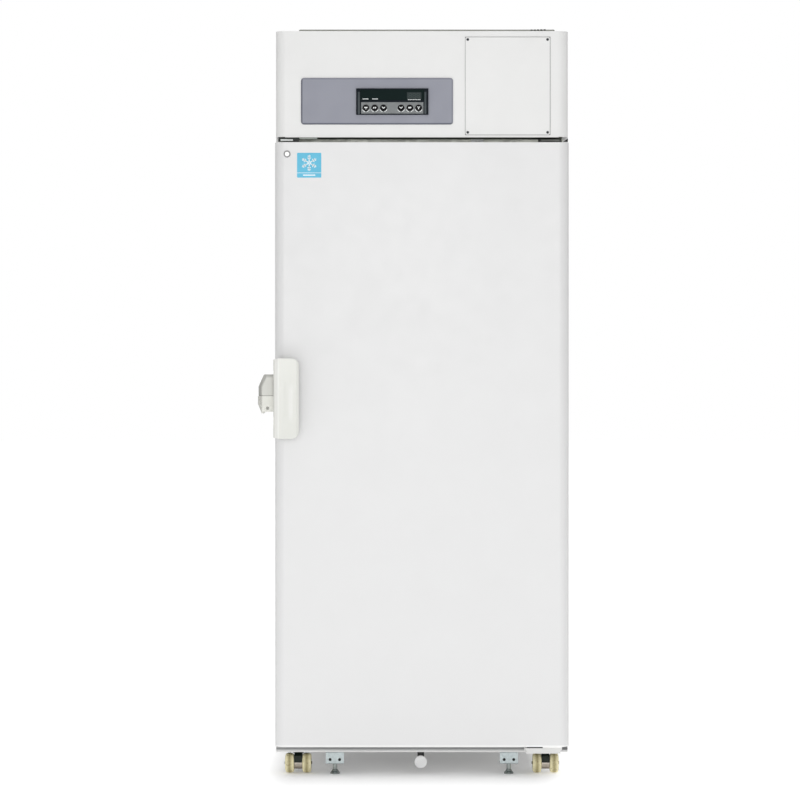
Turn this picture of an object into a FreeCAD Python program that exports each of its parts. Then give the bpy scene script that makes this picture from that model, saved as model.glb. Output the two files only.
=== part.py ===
import FreeCAD, Part
import os
from math import sin, cos, pi, radians, sqrt

V = FreeCAD.Vector
os.makedirs("parts", exist_ok=True)

# Upright laboratory freezer, modelled upright with its door facing -Y and the floor at z = 0.

# Cabinet
width = 770.0              # across the side panels and the door
depth = 830.0              # door face to back panel
height = 1964.0            # floor to the raised field of the top cover
base_z = 60.0              # underside of the cabinet
head_high = 285.0          # machine compartment, from its deck to the raised field
sheet = 1.0                # painted steel sheet
hem = 12.0                 # turned edges of the sheet panels
cover_rise = 8.0           # raised field above the rest of the top
frame_thick = 3.0          # plastic frame round the chamber's mouth

# Insulated walls round the chamber
side_wall = 60.0
floor_wall = 62.0
top_wall = 57.0
back_wall = 60.0
liner_thick = 1.0

# Door
door_foot_gap = 23.0       # door's lower edge above the cabinet's underside
door_head_gap = 15.0       # door's upper edge under the fascia
door_thick = 65.0
gasket_gap = 14.0          # door's back to the cabinet's front
edge_round = 25.0          # long front edges of the door and the fascia
door_sheet = 1.0
door_plate = 2.0           # inner plate of the door
door_plate_in = 0.5        # plate's edge in from the skin's
plug_gap = 12.0            # door plug inside the chamber's mouth
plug_deep = 30.0
plug_rim = 26.0
plug_draft = 7.0
gasket_in = 5.0            # gasket's inner edge outside the chamber's mouth
gasket_wide = 20.0
gasket_clear = 0.3

# Door hinges
hinge_inset = 26.0         # pin axis in from the door's edge
hinge_back = 32.0          # pin axis behind the door's face
pin_r = 6.0
pin_fit = 0.05
pin_long = 24.0
bush_r = 13.0
bush_long = 12.0
hinge_plate = 5.0
hinge_gap = 4.0            # hinge plates above and below the door
hinge_end = 8.0            # hinge plates past the pin axis
lower_hinge_w = 97.0
lower_hinge_lip = 14.0
upper_hinge_w = 60.0

# Top fascia and what it carries
fascia_side = 2.0          # fascia's side in from the cabinet's side
fascia_back = 10.0         # fascia's face behind the door's face
fascia_sheet = 1.5
plate_inset = 68.5         # grey control plate in from the cabinet's left side
plate_gap = 32.5           # between the plate and the recorder cover
plate_h = 122.0
plate_up = 32.0            # above the fascia's lower edge
plate_thick = 3.0
plate_corner = 8.0
module_in = 239.0          # display module's middle from the plate's left edge
module_up = 59.5           # and from the plate's lower edge
module_w = 189.0
module_h = 69.0
module_proud = 4.0
module_deep = 24.0
module_wall = 2.0
rim = 5.0                  # module's rim at its sides
rim_low = 3.0              # module's rim above and below
window_w = 168.0
window_h = 28.0
window_thick = 2.0
window_deep = 1.0          # window's face behind the module's face
strip_w = 163.0
strip_h = 30.0
strip_thick = 2.0
strip_deep = 0.5
key_r = 8.5
key_pitch = 23.0
key_gap = 46.0             # between the two groups of keys
key_proud = 2.0
key_travel = 1.0
key_clear = 0.4
key_well = 8.0
key_stem_r = 3.0
cover_inset = 160.5        # recorder cover's middle in from the cabinet's right side
cover_up = 133.0           # and above the fascia's lower edge
cover_w = 221.0
cover_h = 255.0
cover_thick = 1.5
cover_land = 14.0          # cover laps over the opening behind it
screw_inset = 6.0
screw_head_r = 3.5
screw_r = 1.75
screw_clear = 0.2

# Top cover
field_left_in = 58.0       # raised field in from the cabinet's sides
field_right_in = 32.0
field_setback = 25.0       # raised field behind the fascia's face
field_slope = 6.0
top_lip = 15.0             # fascia's top flange
panel_clear = 0.2

# Handle
lever_over = 2.0           # lever past the door's left edge
lever_w = 67.0
lever_mid = 993.5          # middle of the handle above the floor
lever_h = 209.0
lever_proud = 42.0         # lever's ridge in front of the door's face
lever_wall = 8.0
lever_corner = 20.0
lever_pin_in = 13.0        # pin axis in from the door's left edge
lever_pin_out = 19.0       # pin axis in front of the door's face
lever_pin_r = 3.5
lug_r = 8.5
lug_high = 26.0
lug_pitch = 120.0
lug_clear = 0.5
base_plate = 4.0
base_plate_w = 45.0
base_end = 14.0            # base plate short of the lever's ends

# Strike on the cabinet's left side
strike_out = 43.0          # how far it stands out from the side panel
tab_more = 1.5             # padlock tab stands out this much further
strike_clear = 3.5         # clear of the door's edge
strike_lead = 5.0          # strike's front behind the door's face
strike_grip = 40.0         # length on the side panel
strike_split = 7.5         # joint between hood and tab above the handle's middle
hood_h = 56.0
hood_slope = 32.0
tab_h = 47.0
hood_wall = 4.0
tab_wall = 5.0
padlock_r = 4.5
padlock_in = 19.0
padlock_up = 14.6

# Lock
lock_in = 32.5             # from the door's left edge
lock_down = 31.0           # below the door's upper edge
lock_bezel_r = 9.0
lock_body_r = 7.5
lock_plug_r = 5.5
lock_long = 24.0
cam_long = 40.0
cam_wide = 9.0
cam_thick = 3.0
cam_gap = 0.6              # cam behind the lock's body
cam_room = 2.0             # free space round the cam
keeper_thick = 3.0
keeper_gap = 2.6           # keeper in front of the cam
keeper_lift = 3.0          # keeper above the door
keeper_left = 24.0         # either side of the lock's axis
keeper_right = 30.0
keeper_shelf = 24.0

# Door switch
switch_in = 239.0          # from the cabinet's right side
switch_w = 32.0
switch_h = 9.5
switch_deep = 10.0

# Casters and feet
caster_in = 57.0           # swivel axes in from the cabinet's sides
caster_front_in = 56.0     # and behind the cabinet's front
caster_rear_in = 75.0      # and in front of the back
caster_trail = 16.0
wheel_r = 26.0
wheel_wide = 23.5
wheel_round = 6.0          # rounded edges of the tread
wheel_gap = 22.0
sleeve_r = 16.0            # bright sleeve round the axle, between the wheels
front_lift = 1.0           # front wheels above the floor when the feet are down
axle_r = 4.0
king_r = 4.0
race_r = 17.0
race_high = 1.0
turret_high = 3.4          # swivel turret below the raceway
caster_plate = 3.0
caster_plate_w = 64.0
caster_hole_r = 2.6
caster_hole_in = 8.0
foot_in = 155.0            # foot axes in from the cabinet's sides
foot_back = 22.0           # and behind the cabinet's front
foot_pad_r = 13.0
stem_r = 6.0
foot_bracket_w = 48.0
foot_bracket_h = 31.5
bracket_thick = 3.0
bracket_back = 1.5         # bracket's face behind the cabinet's front
foot_hole_r = 3.0
foot_hole_pitch = 25.0
foot_hole_up = 11.5
foot_bracket_deep = 22.0   # shelf of the bracket behind the stem
foot_bracket_flange = 14.0
nut_high = 5.0

# Drain outlet
drain_x = -3.0
drain_back = 30.0          # behind the cabinet's front
drain_drop = 27.5          # below the cabinet
drain_r = 9.0
drain_spout = 16.0
drain_cap_r = 16.5
drain_cap_deep = 7.0

# Shelves and their posts
shelf_first = 290.0        # lowest shelf above the chamber's floor
shelf_last = 194.0         # highest shelf below the cooling unit's cover
shelf_count = 4
shelf_side_gap = 4.5       # shelf to post
shelf_front_gap = 44.0     # behind the cabinet's front
shelf_back_gap = 19.0
wire_r = 1.9
frame_wire_r = 3.5
frame_bend = 22.0
wire_pitch = 34.0
post_w = 22.0
post_t = 3.0
post_front_in = 86.0
post_rear_in = 65.0
post_end = 20.0
slots_per_shelf = 4
slot_w = 8.0
slot_h = 12.0
clip_w = 14.0
clip_t = 1.6
clip_reach = 14.6

# Cooling unit's cover in the chamber
evap_deep = 235.0
evap_high = 116.0
evap_face = 46.0
evap_slope = 40.0
evap_side = 22.0
evap_sheet = 2.0
evap_slots = 13
evap_slot_w = 32.0
evap_slot_h = 10.0

# Machine compartment
fan_x = -190.0
fan_back = 266.0           # coil's shroud behind the cabinet's front
fan_r = 92.0
fan_hub_r = 26.0
fan_hub_long = 24.0
blade_root = 17.0          # half of the blade's chord at the hub
blade_root_pitch = 9.0
blade_tip_lead = 36.0      # blade's edges at the tip, either side of its root's middle
blade_tip_trail = 30.0
blade_tip_pitch = 6.0
blade_thick = 1.4
fan_blades = 5
coil_w = 240.0
coil_h = 232.0
coil_deep = 50.0
coil_lift = 8.0
coil_tube_r = 4.0
coil_rows = 6
fin_count = 20
fin_thick = 0.8
shroud_deep = 40.0
shroud_wall = 2.0
motor_r = 34.0
motor_long = 44.0
shaft_r = 4.0
compressor_x = 170.0
compressor_in = 225.0      # compressor's axis in front of the back
compressor_r = 88.0
compressor_h = 195.0
compressor_lift = 16.0
compressor_base_w = 220.0
compressor_base_d = 124.0
compressor_base_t = 4.0
pad_r = 10.0
pad_in = 16.0
terminal_w = 52.0
terminal_h = 52.0
terminal_low = 40.0
terminal_out = 26.0
stub_r = 6.0
stub_in = 40.0
stub_long = 14.0
pipe_r = 4.0
pipe_bend = 14.0
pipe_low = 12.0            # pipe run from the compressor below its highest point
pipe_y_in = 375.0          # pipe's run in front of the back
pipe_side = 60.0           # pipe's fall beside the coil

# Back panel's pressed ribs and the rear grille
rib_count = 3
rib_half = 12.0
rib_end = 90.0
rib_deep = 0.4
louvre_columns = 3
louvre_rows = 11
louvre_w = 190.0
louvre_h = 9.0
louvre_margin = 60.0
louvre_first = 38.0

# Cord gland on the back
gland_in = 40.0
gland_up = 18.0            # above the deck
gland_out = 16.0
gland_r = 8.5
gland_bore_r = 4.5

# Access port
port_in = 135.0            # from the cabinet's right side
port_down = 172.0          # below the chamber's top
port_r = 20.0

# Places that follow from the sizes above
half = width / 2
front = -depth / 2
back = depth / 2
deck_z = height - head_high
door_bottom = base_z + door_foot_gap
door_top = deck_z - door_head_gap
door_back = front + door_thick
seal_y = door_back + gasket_gap
panel_top = height - cover_rise
side_in = half - sheet
rear_in = back - 2 * sheet
cham = half - side_wall
chamber_floor = base_z + floor_wall
chamber_top = deck_z - top_wall
chamber_back = back - back_wall
hinge_x = half - hinge_inset
hinge_y = front + hinge_back
face_y = front + fascia_back
fascia_half = half - fascia_side
plate_left = -half + plate_inset
plate_right = half - cover_inset - cover_w / 2 - plate_gap
plate_low = deck_z + plate_up
plate_high = plate_low + plate_h
module_x = plate_left + module_in
module_z = plate_low + module_up
module_face = face_y - plate_thick - module_proud
window_z = module_z + module_h / 2 - rim_low - window_h / 2
strip_z = module_z - module_h / 2 + rim_low + strip_h / 2
key_z = strip_z
cover_x = half - cover_inset
cover_z = deck_z + cover_up
field_left = -half + field_left_in
field_right = half - field_right_in
hatch_left = field_left - 13.0
hatch_right = field_right + 4.0
lever_left = -half - lever_over
lever_right = lever_left + lever_w
lever_low = lever_mid - lever_h / 2
lever_high = lever_mid + lever_h / 2
lever_pin_x = -half + lever_pin_in
lever_face = front - lever_proud
lever_pin_y = front - lever_pin_out
split_z = lever_mid + strike_split
strike_front = front + strike_lead
strike_back = seal_y + strike_grip
lock_x = -half + lock_in
lock_z = door_top - lock_down
caster_x = half - caster_in
caster_front = seal_y + caster_front_in
caster_rear = back - caster_rear_in
foot_x = half - foot_in
foot_y = seal_y + foot_back
foot_bracket_low = base_z - foot_bracket_h
drain_y = seal_y + drain_back
drain_z = base_z - drain_drop
post_front = seal_y + post_front_in
post_rear = chamber_back - post_rear_in
shelf_low = chamber_floor + shelf_first
evap_front = chamber_back - evap_deep
evap_low = chamber_top - evap_high
shelf_pitch = (evap_low - shelf_last - shelf_low) / (shelf_count - 1)
slot_pitch = shelf_pitch / slots_per_shelf
shelf_half = cham - post_t - shelf_side_gap
shelf_front = seal_y + shelf_front_gap
shelf_back = chamber_back - shelf_back_gap
coil_y = seal_y + fan_back - coil_deep - shroud_deep
shroud_y = coil_y + coil_deep
coil_z = deck_z + coil_lift
fan_z = coil_z + coil_h / 2
compressor_y = back - compressor_in
gland_x = -half + gland_in
gland_z = deck_z + gland_up
port_x = half - port_in
port_z = chamber_top - port_down

# The origin is under the middle of the whole object, strike, handle and gland included.
shift_x = (strike_out + tab_more) / 2
shift_y = (lever_proud - gland_out) / 2


def box(x0, x1, y0, y1, z0, z1):
    return Part.makeBox(x1 - x0, y1 - y0, z1 - z0, V(x0, y0, z0))


def cyl(x, y, z, r, length, axis):
    return Part.makeCylinder(r, length, V(x, y, z), axis)


X = V(1, 0, 0)
Y = V(0, 1, 0)
Z = V(0, 0, 1)


def joined(shapes):
    whole = shapes[0]
    for shape in shapes[1:]:
        whole = whole.fuse(shape)
    return whole.removeSplitter()


def outline(points, radii=None):
    """Closed flat wire through points, each corner rounded by its radius."""
    count = len(points)
    if radii is None:
        radii = [0.0] * count
    edges = []
    starts = []
    for i in range(count):
        here = points[i]
        before = points[i - 1]
        after = points[(i + 1) % count]
        if radii[i] <= 0:
            starts.append((here, here, None))
            continue
        a = (before - here).normalize()
        b = (after - here).normalize()
        turn = a.getAngle(b)
        reach = radii[i] / (sin(turn / 2) / cos(turn / 2))
        p = here + a * reach
        q = here + b * reach
        middle = (a + b).normalize()
        centre = here + middle * (radii[i] / sin(turn / 2))
        starts.append((p, q, centre - middle * radii[i]))
    for i in range(count):
        p, q, mid = starts[i]
        if mid is not None:
            edges.append(Part.Arc(p, mid, q).toShape())
        following = starts[(i + 1) % count][0]
        if (following - q).Length > 1e-6:
            edges.append(Part.LineSegment(q, following).toShape())
    return Part.Wire(edges)


def prism_z(xy, z0, z1, radii=None):
    wire = outline([V(x, y, z0) for x, y in xy], radii)
    return Part.Face(wire).extrude(V(0, 0, z1 - z0))


def prism_y(xz, y0, y1, radii=None):
    wire = outline([V(x, y0, z) for x, z in xz], radii)
    return Part.Face(wire).extrude(V(0, y1 - y0, 0))


def prism_x(yz, x0, x1, radii=None):
    wire = outline([V(x0, y, z) for y, z in yz], radii)
    return Part.Face(wire).extrude(V(x1 - x0, 0, 0))


def turned(profile, place, axis):
    """Solid of revolution from (radius, height) points about an axis through place."""
    wire = outline([V(r, 0, h) for r, h in profile])
    solid = Part.Face(wire).revolve(V(0, 0, 0), Z, 360)
    if abs(axis.z) < 0.5:
        solid.rotate(V(0, 0, 0), Z.cross(axis), 90)
    elif axis.z < 0:
        solid.rotate(V(0, 0, 0), X, 180)
    solid.translate(place)
    return solid


def rod(points, r, bend, sides):
    """Bent wire or pipe of a many-sided section along straight runs and arcs."""
    edges = []
    last = points[0]
    for i in range(1, len(points) - 1):
        here = points[i]
        a = (points[i - 1] - here).normalize()
        b = (points[i + 1] - here).normalize()
        turn = a.getAngle(b)
        reach = bend / (sin(turn / 2) / cos(turn / 2))
        p = here + a * reach
        q = here + b * reach
        middle = (a + b).normalize()
        inner = here + middle * (bend / sin(turn / 2) - bend)
        edges.append(Part.LineSegment(last, p).toShape())
        edges.append(Part.Arc(p, inner, q).toShape())
        last = q
    edges.append(Part.LineSegment(last, points[-1]).toShape())
    path = Part.Wire(edges)
    along = (points[1] - points[0]).normalize()
    side = along.cross(Z)
    if side.Length < 0.1:
        side = along.cross(X)
    side.normalize()
    up = along.cross(side)
    corners = []
    for k in range(sides):
        angle = 2 * pi * (k + 0.5) / sides
        corners.append(points[0] + side * (r * cos(angle)) + up * (r * sin(angle)))
    section = Part.makePolygon(corners + [corners[0]])
    return path.makePipeShell([section], True, False)


def straight_wire(a, b, r, sides=6):
    return rod([a, b], r, 1.0, sides)


def save(name, shapes):
    if not isinstance(shapes, list):
        shapes = [shapes]
    solids = []
    for shape in shapes:
        solids.extend(shape.Solids)
    whole = solids[0] if len(solids) == 1 else Part.makeCompound(solids)
    placed = whole.copy()
    placed.translate(V(shift_x, shift_y, 0))
    placed.exportStep("parts/" + name + ".step")


# Cabinet panels
def side_panel(side):
    web = box(side_in, half, seal_y, rear_in + sheet, base_z, panel_top)
    hem_front = box(half - hem, half, seal_y, seal_y + sheet, base_z, panel_top)
    hem_rear = box(half - hem, half, rear_in, rear_in + sheet, base_z, panel_top)
    hem_top = box(half - hem, half, seal_y, rear_in + sheet, panel_top - sheet, panel_top)
    panel = joined([web, hem_front, hem_rear, hem_top])
    if side < 0:
        panel = panel.mirror(V(0, 0, 0), X)
    return panel


def back_panel():
    panel = box(-half, half, rear_in + sheet, back, base_z, deck_z)
    ribs = []
    x = half - rib_end
    for k in range(rib_count):
        z = base_z + (deck_z - base_z) * (k + 1) / (rib_count + 1)
        groove = [(-x, z - rib_half), (x, z - rib_half), (x, z + rib_half), (-x, z + rib_half)]
        ribs.append(prism_y(groove, back - rib_deep, back + 1, [rib_half - 0.1] * 4))
    for rib in ribs:
        panel = panel.cut(rib)
    return panel.cut(cyl(port_x, rear_in, port_z, port_r, 10, Y))


def bottom_panel():
    floor = box(-side_in, side_in, seal_y + sheet, rear_in, base_z, base_z + sheet)
    lip = box(-half + hem, half - hem, seal_y, seal_y + sheet, base_z, base_z + hem)
    return joined([floor, lip])


def machine_deck():
    floor = box(-side_in, side_in, seal_y + sheet, rear_in, deck_z - sheet, deck_z)
    lip = box(-half + hem, half - hem, seal_y, seal_y + sheet, deck_z - hem, deck_z)
    return joined([floor, lip])


def port_bore(grow=0.0):
    return cyl(port_x, chamber_back - 20, port_z, port_r + grow, back_wall + 40, Y)


def foam_insulation():
    y0 = seal_y + frame_thick
    body = box(-side_in, side_in, y0, rear_in, base_z + sheet, deck_z - sheet)
    gap = liner_thick
    cavity = box(-cham - gap, cham + gap, y0 - 1, chamber_back + gap,
                 chamber_floor - gap, chamber_top + gap)
    return body.cut(cavity).cut(port_bore())


def inner_liner():
    y0 = seal_y + frame_thick
    t = liner_thick
    shell = box(-cham - t, cham + t, y0, chamber_back + t, chamber_floor - t, chamber_top + t)
    inside = box(-cham, cham, y0 - 1, chamber_back, chamber_floor, chamber_top)
    return shell.cut(inside).cut(port_bore())


def breaker_frame():
    y1 = seal_y + frame_thick
    x1 = half - hem
    plate = box(-x1, x1, seal_y, y1, base_z + hem, deck_z - hem)
    back_rebate = box(-side_in, side_in, seal_y + sheet, y1, base_z + sheet, deck_z - sheet)
    mouth = box(-cham, cham, seal_y - 1, y1 + 1, chamber_floor, chamber_top)
    return joined([plate, back_rebate]).cut(mouth)


# Top fascia, its cover, plate and display
def plan_shell(x_half, y0, y1, r):
    """Plan outline of a front with two rounded long edges."""
    points = [(-x_half, y1), (-x_half, y0), (x_half, y0), (x_half, y1)]
    return points, [0.0, r, r, 0.0]


def corner_screws():
    dx = cover_w / 2 - screw_inset
    dz = cover_h / 2 - screw_inset
    return [(cover_x + sx * dx, cover_z + sz * dz) for sx in (-1, 1) for sz in (-1, 1)]


def key_places():
    xs = []
    for i in range(3):
        xs.append(module_x - key_gap / 2 - (2 - i) * key_pitch)
    for i in range(3):
        xs.append(module_x + key_gap / 2 + i * key_pitch)
    return xs


def top_fascia():
    t = fascia_sheet
    points, radii = plan_shell(fascia_half, face_y, seal_y, edge_round)
    outer = prism_z(points, deck_z, panel_top, radii)
    points, radii = plan_shell(fascia_half - t, face_y + t, seal_y + 5, edge_round - t)
    inner = prism_z(points, deck_z + t, panel_top - t, radii)
    hatch = box(hatch_left, hatch_right, face_y + top_lip, seal_y + 5, panel_top - 10, panel_top + 5)
    shell = outer.cut(inner).cut(hatch)
    hole_x = module_w / 2 - rim
    hole_z = module_h / 2 - rim_low
    shell = shell.cut(box(module_x - hole_x, module_x + hole_x, face_y - 5, face_y + 5,
                          module_z - hole_z, module_z + hole_z))
    bay_x = cover_w / 2 - cover_land
    bay_z = cover_h / 2 - cover_land
    shell = shell.cut(box(cover_x - bay_x, cover_x + bay_x, face_y - 5, face_y + 5,
                          cover_z - bay_z, cover_z + bay_z))
    for x, z in corner_screws():
        shell = shell.cut(cyl(x, face_y - 5, z, screw_r + screw_clear, 10, Y))
    return shell


def recorder_cover():
    x0 = cover_x - cover_w / 2
    x1 = cover_x + cover_w / 2
    z0 = cover_z - cover_h / 2
    z1 = cover_z + cover_h / 2
    corners = [(x0, z0), (x1, z0), (x1, z1), (x0, z1)]
    plate = prism_y(corners, face_y - cover_thick, face_y, [4.0] * 4)
    for x, z in corner_screws():
        plate = plate.cut(cyl(x, face_y - 5, z, screw_r + screw_clear, 10, Y))
    return plate


def panel_screws():
    """Pan-head screws of the recorder cover, and two on the top cover's front edge."""
    screws = []
    head = [(0, 0), (0, 1.8), (screw_head_r - 1.0, 1.6), (screw_head_r, 0.7), (screw_head_r, 0)]
    for x, z in corner_screws():
        y = face_y - cover_thick
        cap = turned(head, V(x, y, z), V(0, -1, 0))
        screws.append(joined([cap, cyl(x, y, z, screw_r, 8, Y)]))
    for x in (hatch_left - 5.5, hatch_right + 5.5):
        screws.append(turned(head, V(x, face_y + top_lip + 9.0, panel_top), Z))
    return screws


def control_plate():
    points = [(plate_left, plate_low), (plate_right, plate_low),
              (plate_right, plate_high), (plate_left, plate_high)]
    plate = prism_y(points, face_y - plate_thick, face_y, [plate_corner] * 4)
    rim_edges = []
    for edge in plate.Edges:
        if abs(edge.BoundBox.YMin - (face_y - plate_thick)) < 0.01 and edge.BoundBox.YLength < 0.01:
            rim_edges.append(edge)
    plate = plate.makeChamfer(1.2, rim_edges)
    hole_x = module_w / 2
    hole_z = module_h / 2
    return plate.cut(box(module_x - hole_x, module_x + hole_x, face_y - 9, face_y + 1,
                         module_z - hole_z, module_z + hole_z))


def display_frame():
    hx = module_w / 2
    hz = module_h / 2
    points = [(module_x - hx, module_z - hz), (module_x + hx, module_z - hz),
              (module_x + hx, module_z + hz), (module_x - hx, module_z + hz)]
    lip = prism_y(points, module_face, face_y, [0.0] * 4)
    body = box(module_x - hx + rim, module_x + hx - rim, face_y - 1, face_y - 1 + module_deep,
               module_z - hz + rim_low, module_z + hz - rim_low)
    frame = joined([lip, body])
    wx = window_w / 2
    wz = window_h / 2
    pocket = box(module_x - wx, module_x + wx, module_face - 1, module_face + window_thick + window_deep,
                 window_z - wz, window_z + wz)
    sx = strip_w / 2
    sz = strip_h / 2
    bed = box(module_x - sx, module_x + sx, module_face - 1, module_face + strip_thick + strip_deep,
              strip_z - sz, strip_z + sz)
    frame = frame.cut(pocket).cut(bed)
    ix = hx - rim - module_wall
    iz = hz - rim_low - module_wall
    inside = box(module_x - ix, module_x + ix, face_y + 9, face_y + module_deep, module_z - iz, module_z + iz)
    frame = frame.cut(inside)
    for x in key_places():
        well = cyl(x, module_face, key_z, key_r + key_clear, key_well, Y)
        guide = cyl(x, module_face, key_z, key_stem_r + key_clear, 40.0, Y)
        frame = frame.cut(well).cut(guide)
    return frame


def display_window():
    wx = window_w / 2 - 0.1
    wz = window_h / 2 - 0.1
    y1 = module_face + window_thick + window_deep
    return box(module_x - wx, module_x + wx, y1 - window_thick, y1, window_z - wz, window_z + wz)


def key_strip():
    sx = strip_w / 2 - 0.1
    sz = strip_h / 2 - 0.1
    y1 = module_face + strip_thick + strip_deep
    strip = box(module_x - sx, module_x + sx, y1 - strip_thick, y1, strip_z - sz, strip_z + sz)
    for x in key_places():
        strip = strip.cut(cyl(x, module_face - 1, key_z, key_r + key_clear, 10.0, Y))
    return strip


def key(x):
    y0 = module_face - key_proud + 0.5
    cap_end = module_face + key_well - key_travel - 0.5
    long = cap_end - y0
    cap = turned([(0, 0), (key_r - 0.8, 0), (key_r, 0.8), (key_r, long), (0, long)], V(x, y0, key_z), Y)
    stem = cyl(x, cap_end - 1, key_z, key_stem_r, key_well, Y)
    return joined([cap, stem])


def top_cover():
    y0 = face_y + top_lip
    c = panel_clear
    flat = box(hatch_left + c, hatch_right - c, y0 + c, seal_y + 2, panel_top - sheet, panel_top)
    main = box(-half + hem + c, half - hem - c, seal_y + 1, back, panel_top - sheet, panel_top)
    plate = joined([flat, main])
    f0 = face_y + field_setback

    def field(low, high, inset):
        i = inset
        base = [V(field_left + i, f0 + i, low), V(field_right - i, f0 + i, low),
                V(field_right - i, back - 20 - i, low), V(field_left + i, back - 20 - i, low)]
        i = inset + field_slope
        top = [V(field_left + i, f0 + i, high), V(field_right - i, f0 + i, high),
               V(field_right - i, back - 20 - i, high), V(field_left + i, back - 20 - i, high)]
        wires = [Part.makePolygon(base + [base[0]]), Part.makePolygon(top + [top[0]])]
        return Part.makeLoft(wires, True, True)

    raised = field(panel_top - sheet, height, 0.0)
    hollow = field(panel_top - 2 * sheet, height - sheet, sheet)
    return joined([plate, raised]).cut(hollow)


# Rear grille with pressed louvres
def rear_grille():
    plate = box(-half, half, rear_in + sheet, back, deck_z, panel_top - sheet)
    pitch_x = width / louvre_columns
    pitch_z = (panel_top - deck_z - louvre_margin) / louvre_rows
    h = louvre_h
    vanes = []
    for i in range(louvre_columns):
        x0 = -half + pitch_x * (i + 0.5) - louvre_w / 2
        x1 = x0 + louvre_w
        for k in range(louvre_rows):
            z = deck_z + louvre_first + pitch_z * k
            plate = plate.cut(box(x0, x1, rear_in, back + 1, z, z + h))
            top = z + h
            vane = [(back, top), (back, top + sheet), (back - sheet, top + sheet),
                    (back - h, top - h + sheet), (back - h, top - h - 0.4)]
            vanes.append(prism_x(vane, x0, x1))
    return joined([plate] + vanes).cut(cyl(gland_x, rear_in, gland_z, gland_r + 0.5, 10, Y))


def cord_gland():
    b = gland_bore_r
    r = gland_r
    body = [(b, -14), (r, -14), (r, 0), (r + 4.5, 0), (r + 4.5, 4), (r + 2, 4), (r - 0.5, gland_out),
            (b, gland_out)]
    return turned(body, V(gland_x, back, gland_z), Y)


# Machine compartment
def compressor():
    r = compressor_r
    z0 = deck_z + compressor_lift
    shares = [(0, 0), (0.84, 0), (0.955, 0.04), (1, 0.11), (1, 0.49), (0.945, 0.53), (0.945, 0.66),
              (0.84, 0.82), (0.57, 0.945), (0.27, 0.99), (0, 1)]
    dome = [(r * wide, compressor_h * high) for wide, high in shares]
    cx = compressor_x
    cy = compressor_y
    shell = turned(dome, V(cx, cy, z0), Z)
    bx = compressor_base_w / 2
    by = compressor_base_d / 2
    plan = [(cx - bx, cy - by), (cx + bx, cy - by), (cx + bx, cy + by), (cx - bx, cy + by)]
    feet = prism_z(plan, z0 - compressor_base_t, z0, [pad_in - 2] * 4)
    pads = []
    for sx in (-1, 1):
        for sy in (-1, 1):
            x = cx + sx * (bx - pad_in)
            y = cy + sy * (by - pad_in)
            pads.append(cyl(x, y, deck_z, pad_r, compressor_lift - compressor_base_t, Z))
    tx = terminal_w / 2
    tz = z0 + terminal_low
    terminal = box(cx - tx, cx + tx, cy - r - terminal_out, cy - r + 8, tz, tz + terminal_h)
    stub = cyl(cx - stub_in, cy, z0 + compressor_h - stub_long - 1, stub_r, stub_long, Z)
    return [joined([shell, feet, terminal, stub])] + pads


def condenser_unit():
    x0 = fan_x - coil_w / 2
    x1 = fan_x + coil_w / 2
    z1 = coil_z + coil_h
    solids = []
    fins = []
    for i in range(fin_count + 1):
        x = x0 + coil_w * i / fin_count
        fins.append(box(x - fin_thick / 2, x + fin_thick / 2, coil_y, shroud_y, coil_z, z1))
    row = coil_h / coil_rows
    middle = (coil_y + shroud_y) / 2
    path = []
    for k in range(coil_rows):
        z = coil_z + row * (k + 0.5)
        ends = [x0 - pipe_bend, x1 + pipe_bend]
        if k % 2:
            ends.reverse()
        path.append(V(ends[0], middle, z))
        path.append(V(ends[1], middle, z))
    path[0] = V(path[0].x - 10, middle, path[0].z)
    coil = rod(path, coil_tube_r, pipe_bend - 2, 8)
    solids.append(joined(fins + [coil]))
    # Shroud with the fan's ring, and the motor on three arms
    y1 = shroud_y
    y2 = y1 + shroud_deep
    t = shroud_wall
    wall = box(x0, x1, y1, y2, deck_z, z1)
    hollow = box(x0 + t, x1 - t, y1 - 1, y2 - t, deck_z + t, z1 - t)
    collar = cyl(fan_x, y2 - 10, fan_z, fan_r + 8, 34, Y)
    hole = cyl(fan_x, y2 - 30, fan_z, fan_r + 5, 80, Y)
    motor = cyl(fan_x, y2 + 28, fan_z, motor_r, motor_long, Y)
    shroud = joined([wall.cut(hollow), collar]).cut(hole)
    arms = []
    for k in range(3):
        arm = box(fan_x - 5, fan_x + 5, y2 + 20, y2 + 32, fan_z + motor_r - 4, fan_z + fan_r + 7.5)
        arm.rotate(V(fan_x, 0, fan_z), Y, 120 * k + 60)
        arms.append(arm)
    shroud = joined([shroud, motor] + arms)
    shaft = cyl(fan_x, y2 - 6, fan_z, shaft_r, 36, Y)
    solids.append(joined([shroud, shaft]))
    # Discharge pipe
    top = V(compressor_x - stub_in, compressor_y, deck_z + compressor_lift + compressor_h - 1)
    run_z = z1 - pipe_low + 4
    run_y = back - pipe_y_in
    fall_x = x1 + pipe_side
    points = [top, V(top.x, top.y, run_z), V(top.x, run_y, run_z), V(fall_x, run_y, run_z),
              V(fall_x, run_y, deck_z + 0.5)]
    solids.append(rod(points, pipe_r, pipe_bend, 8))
    return solids


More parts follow.
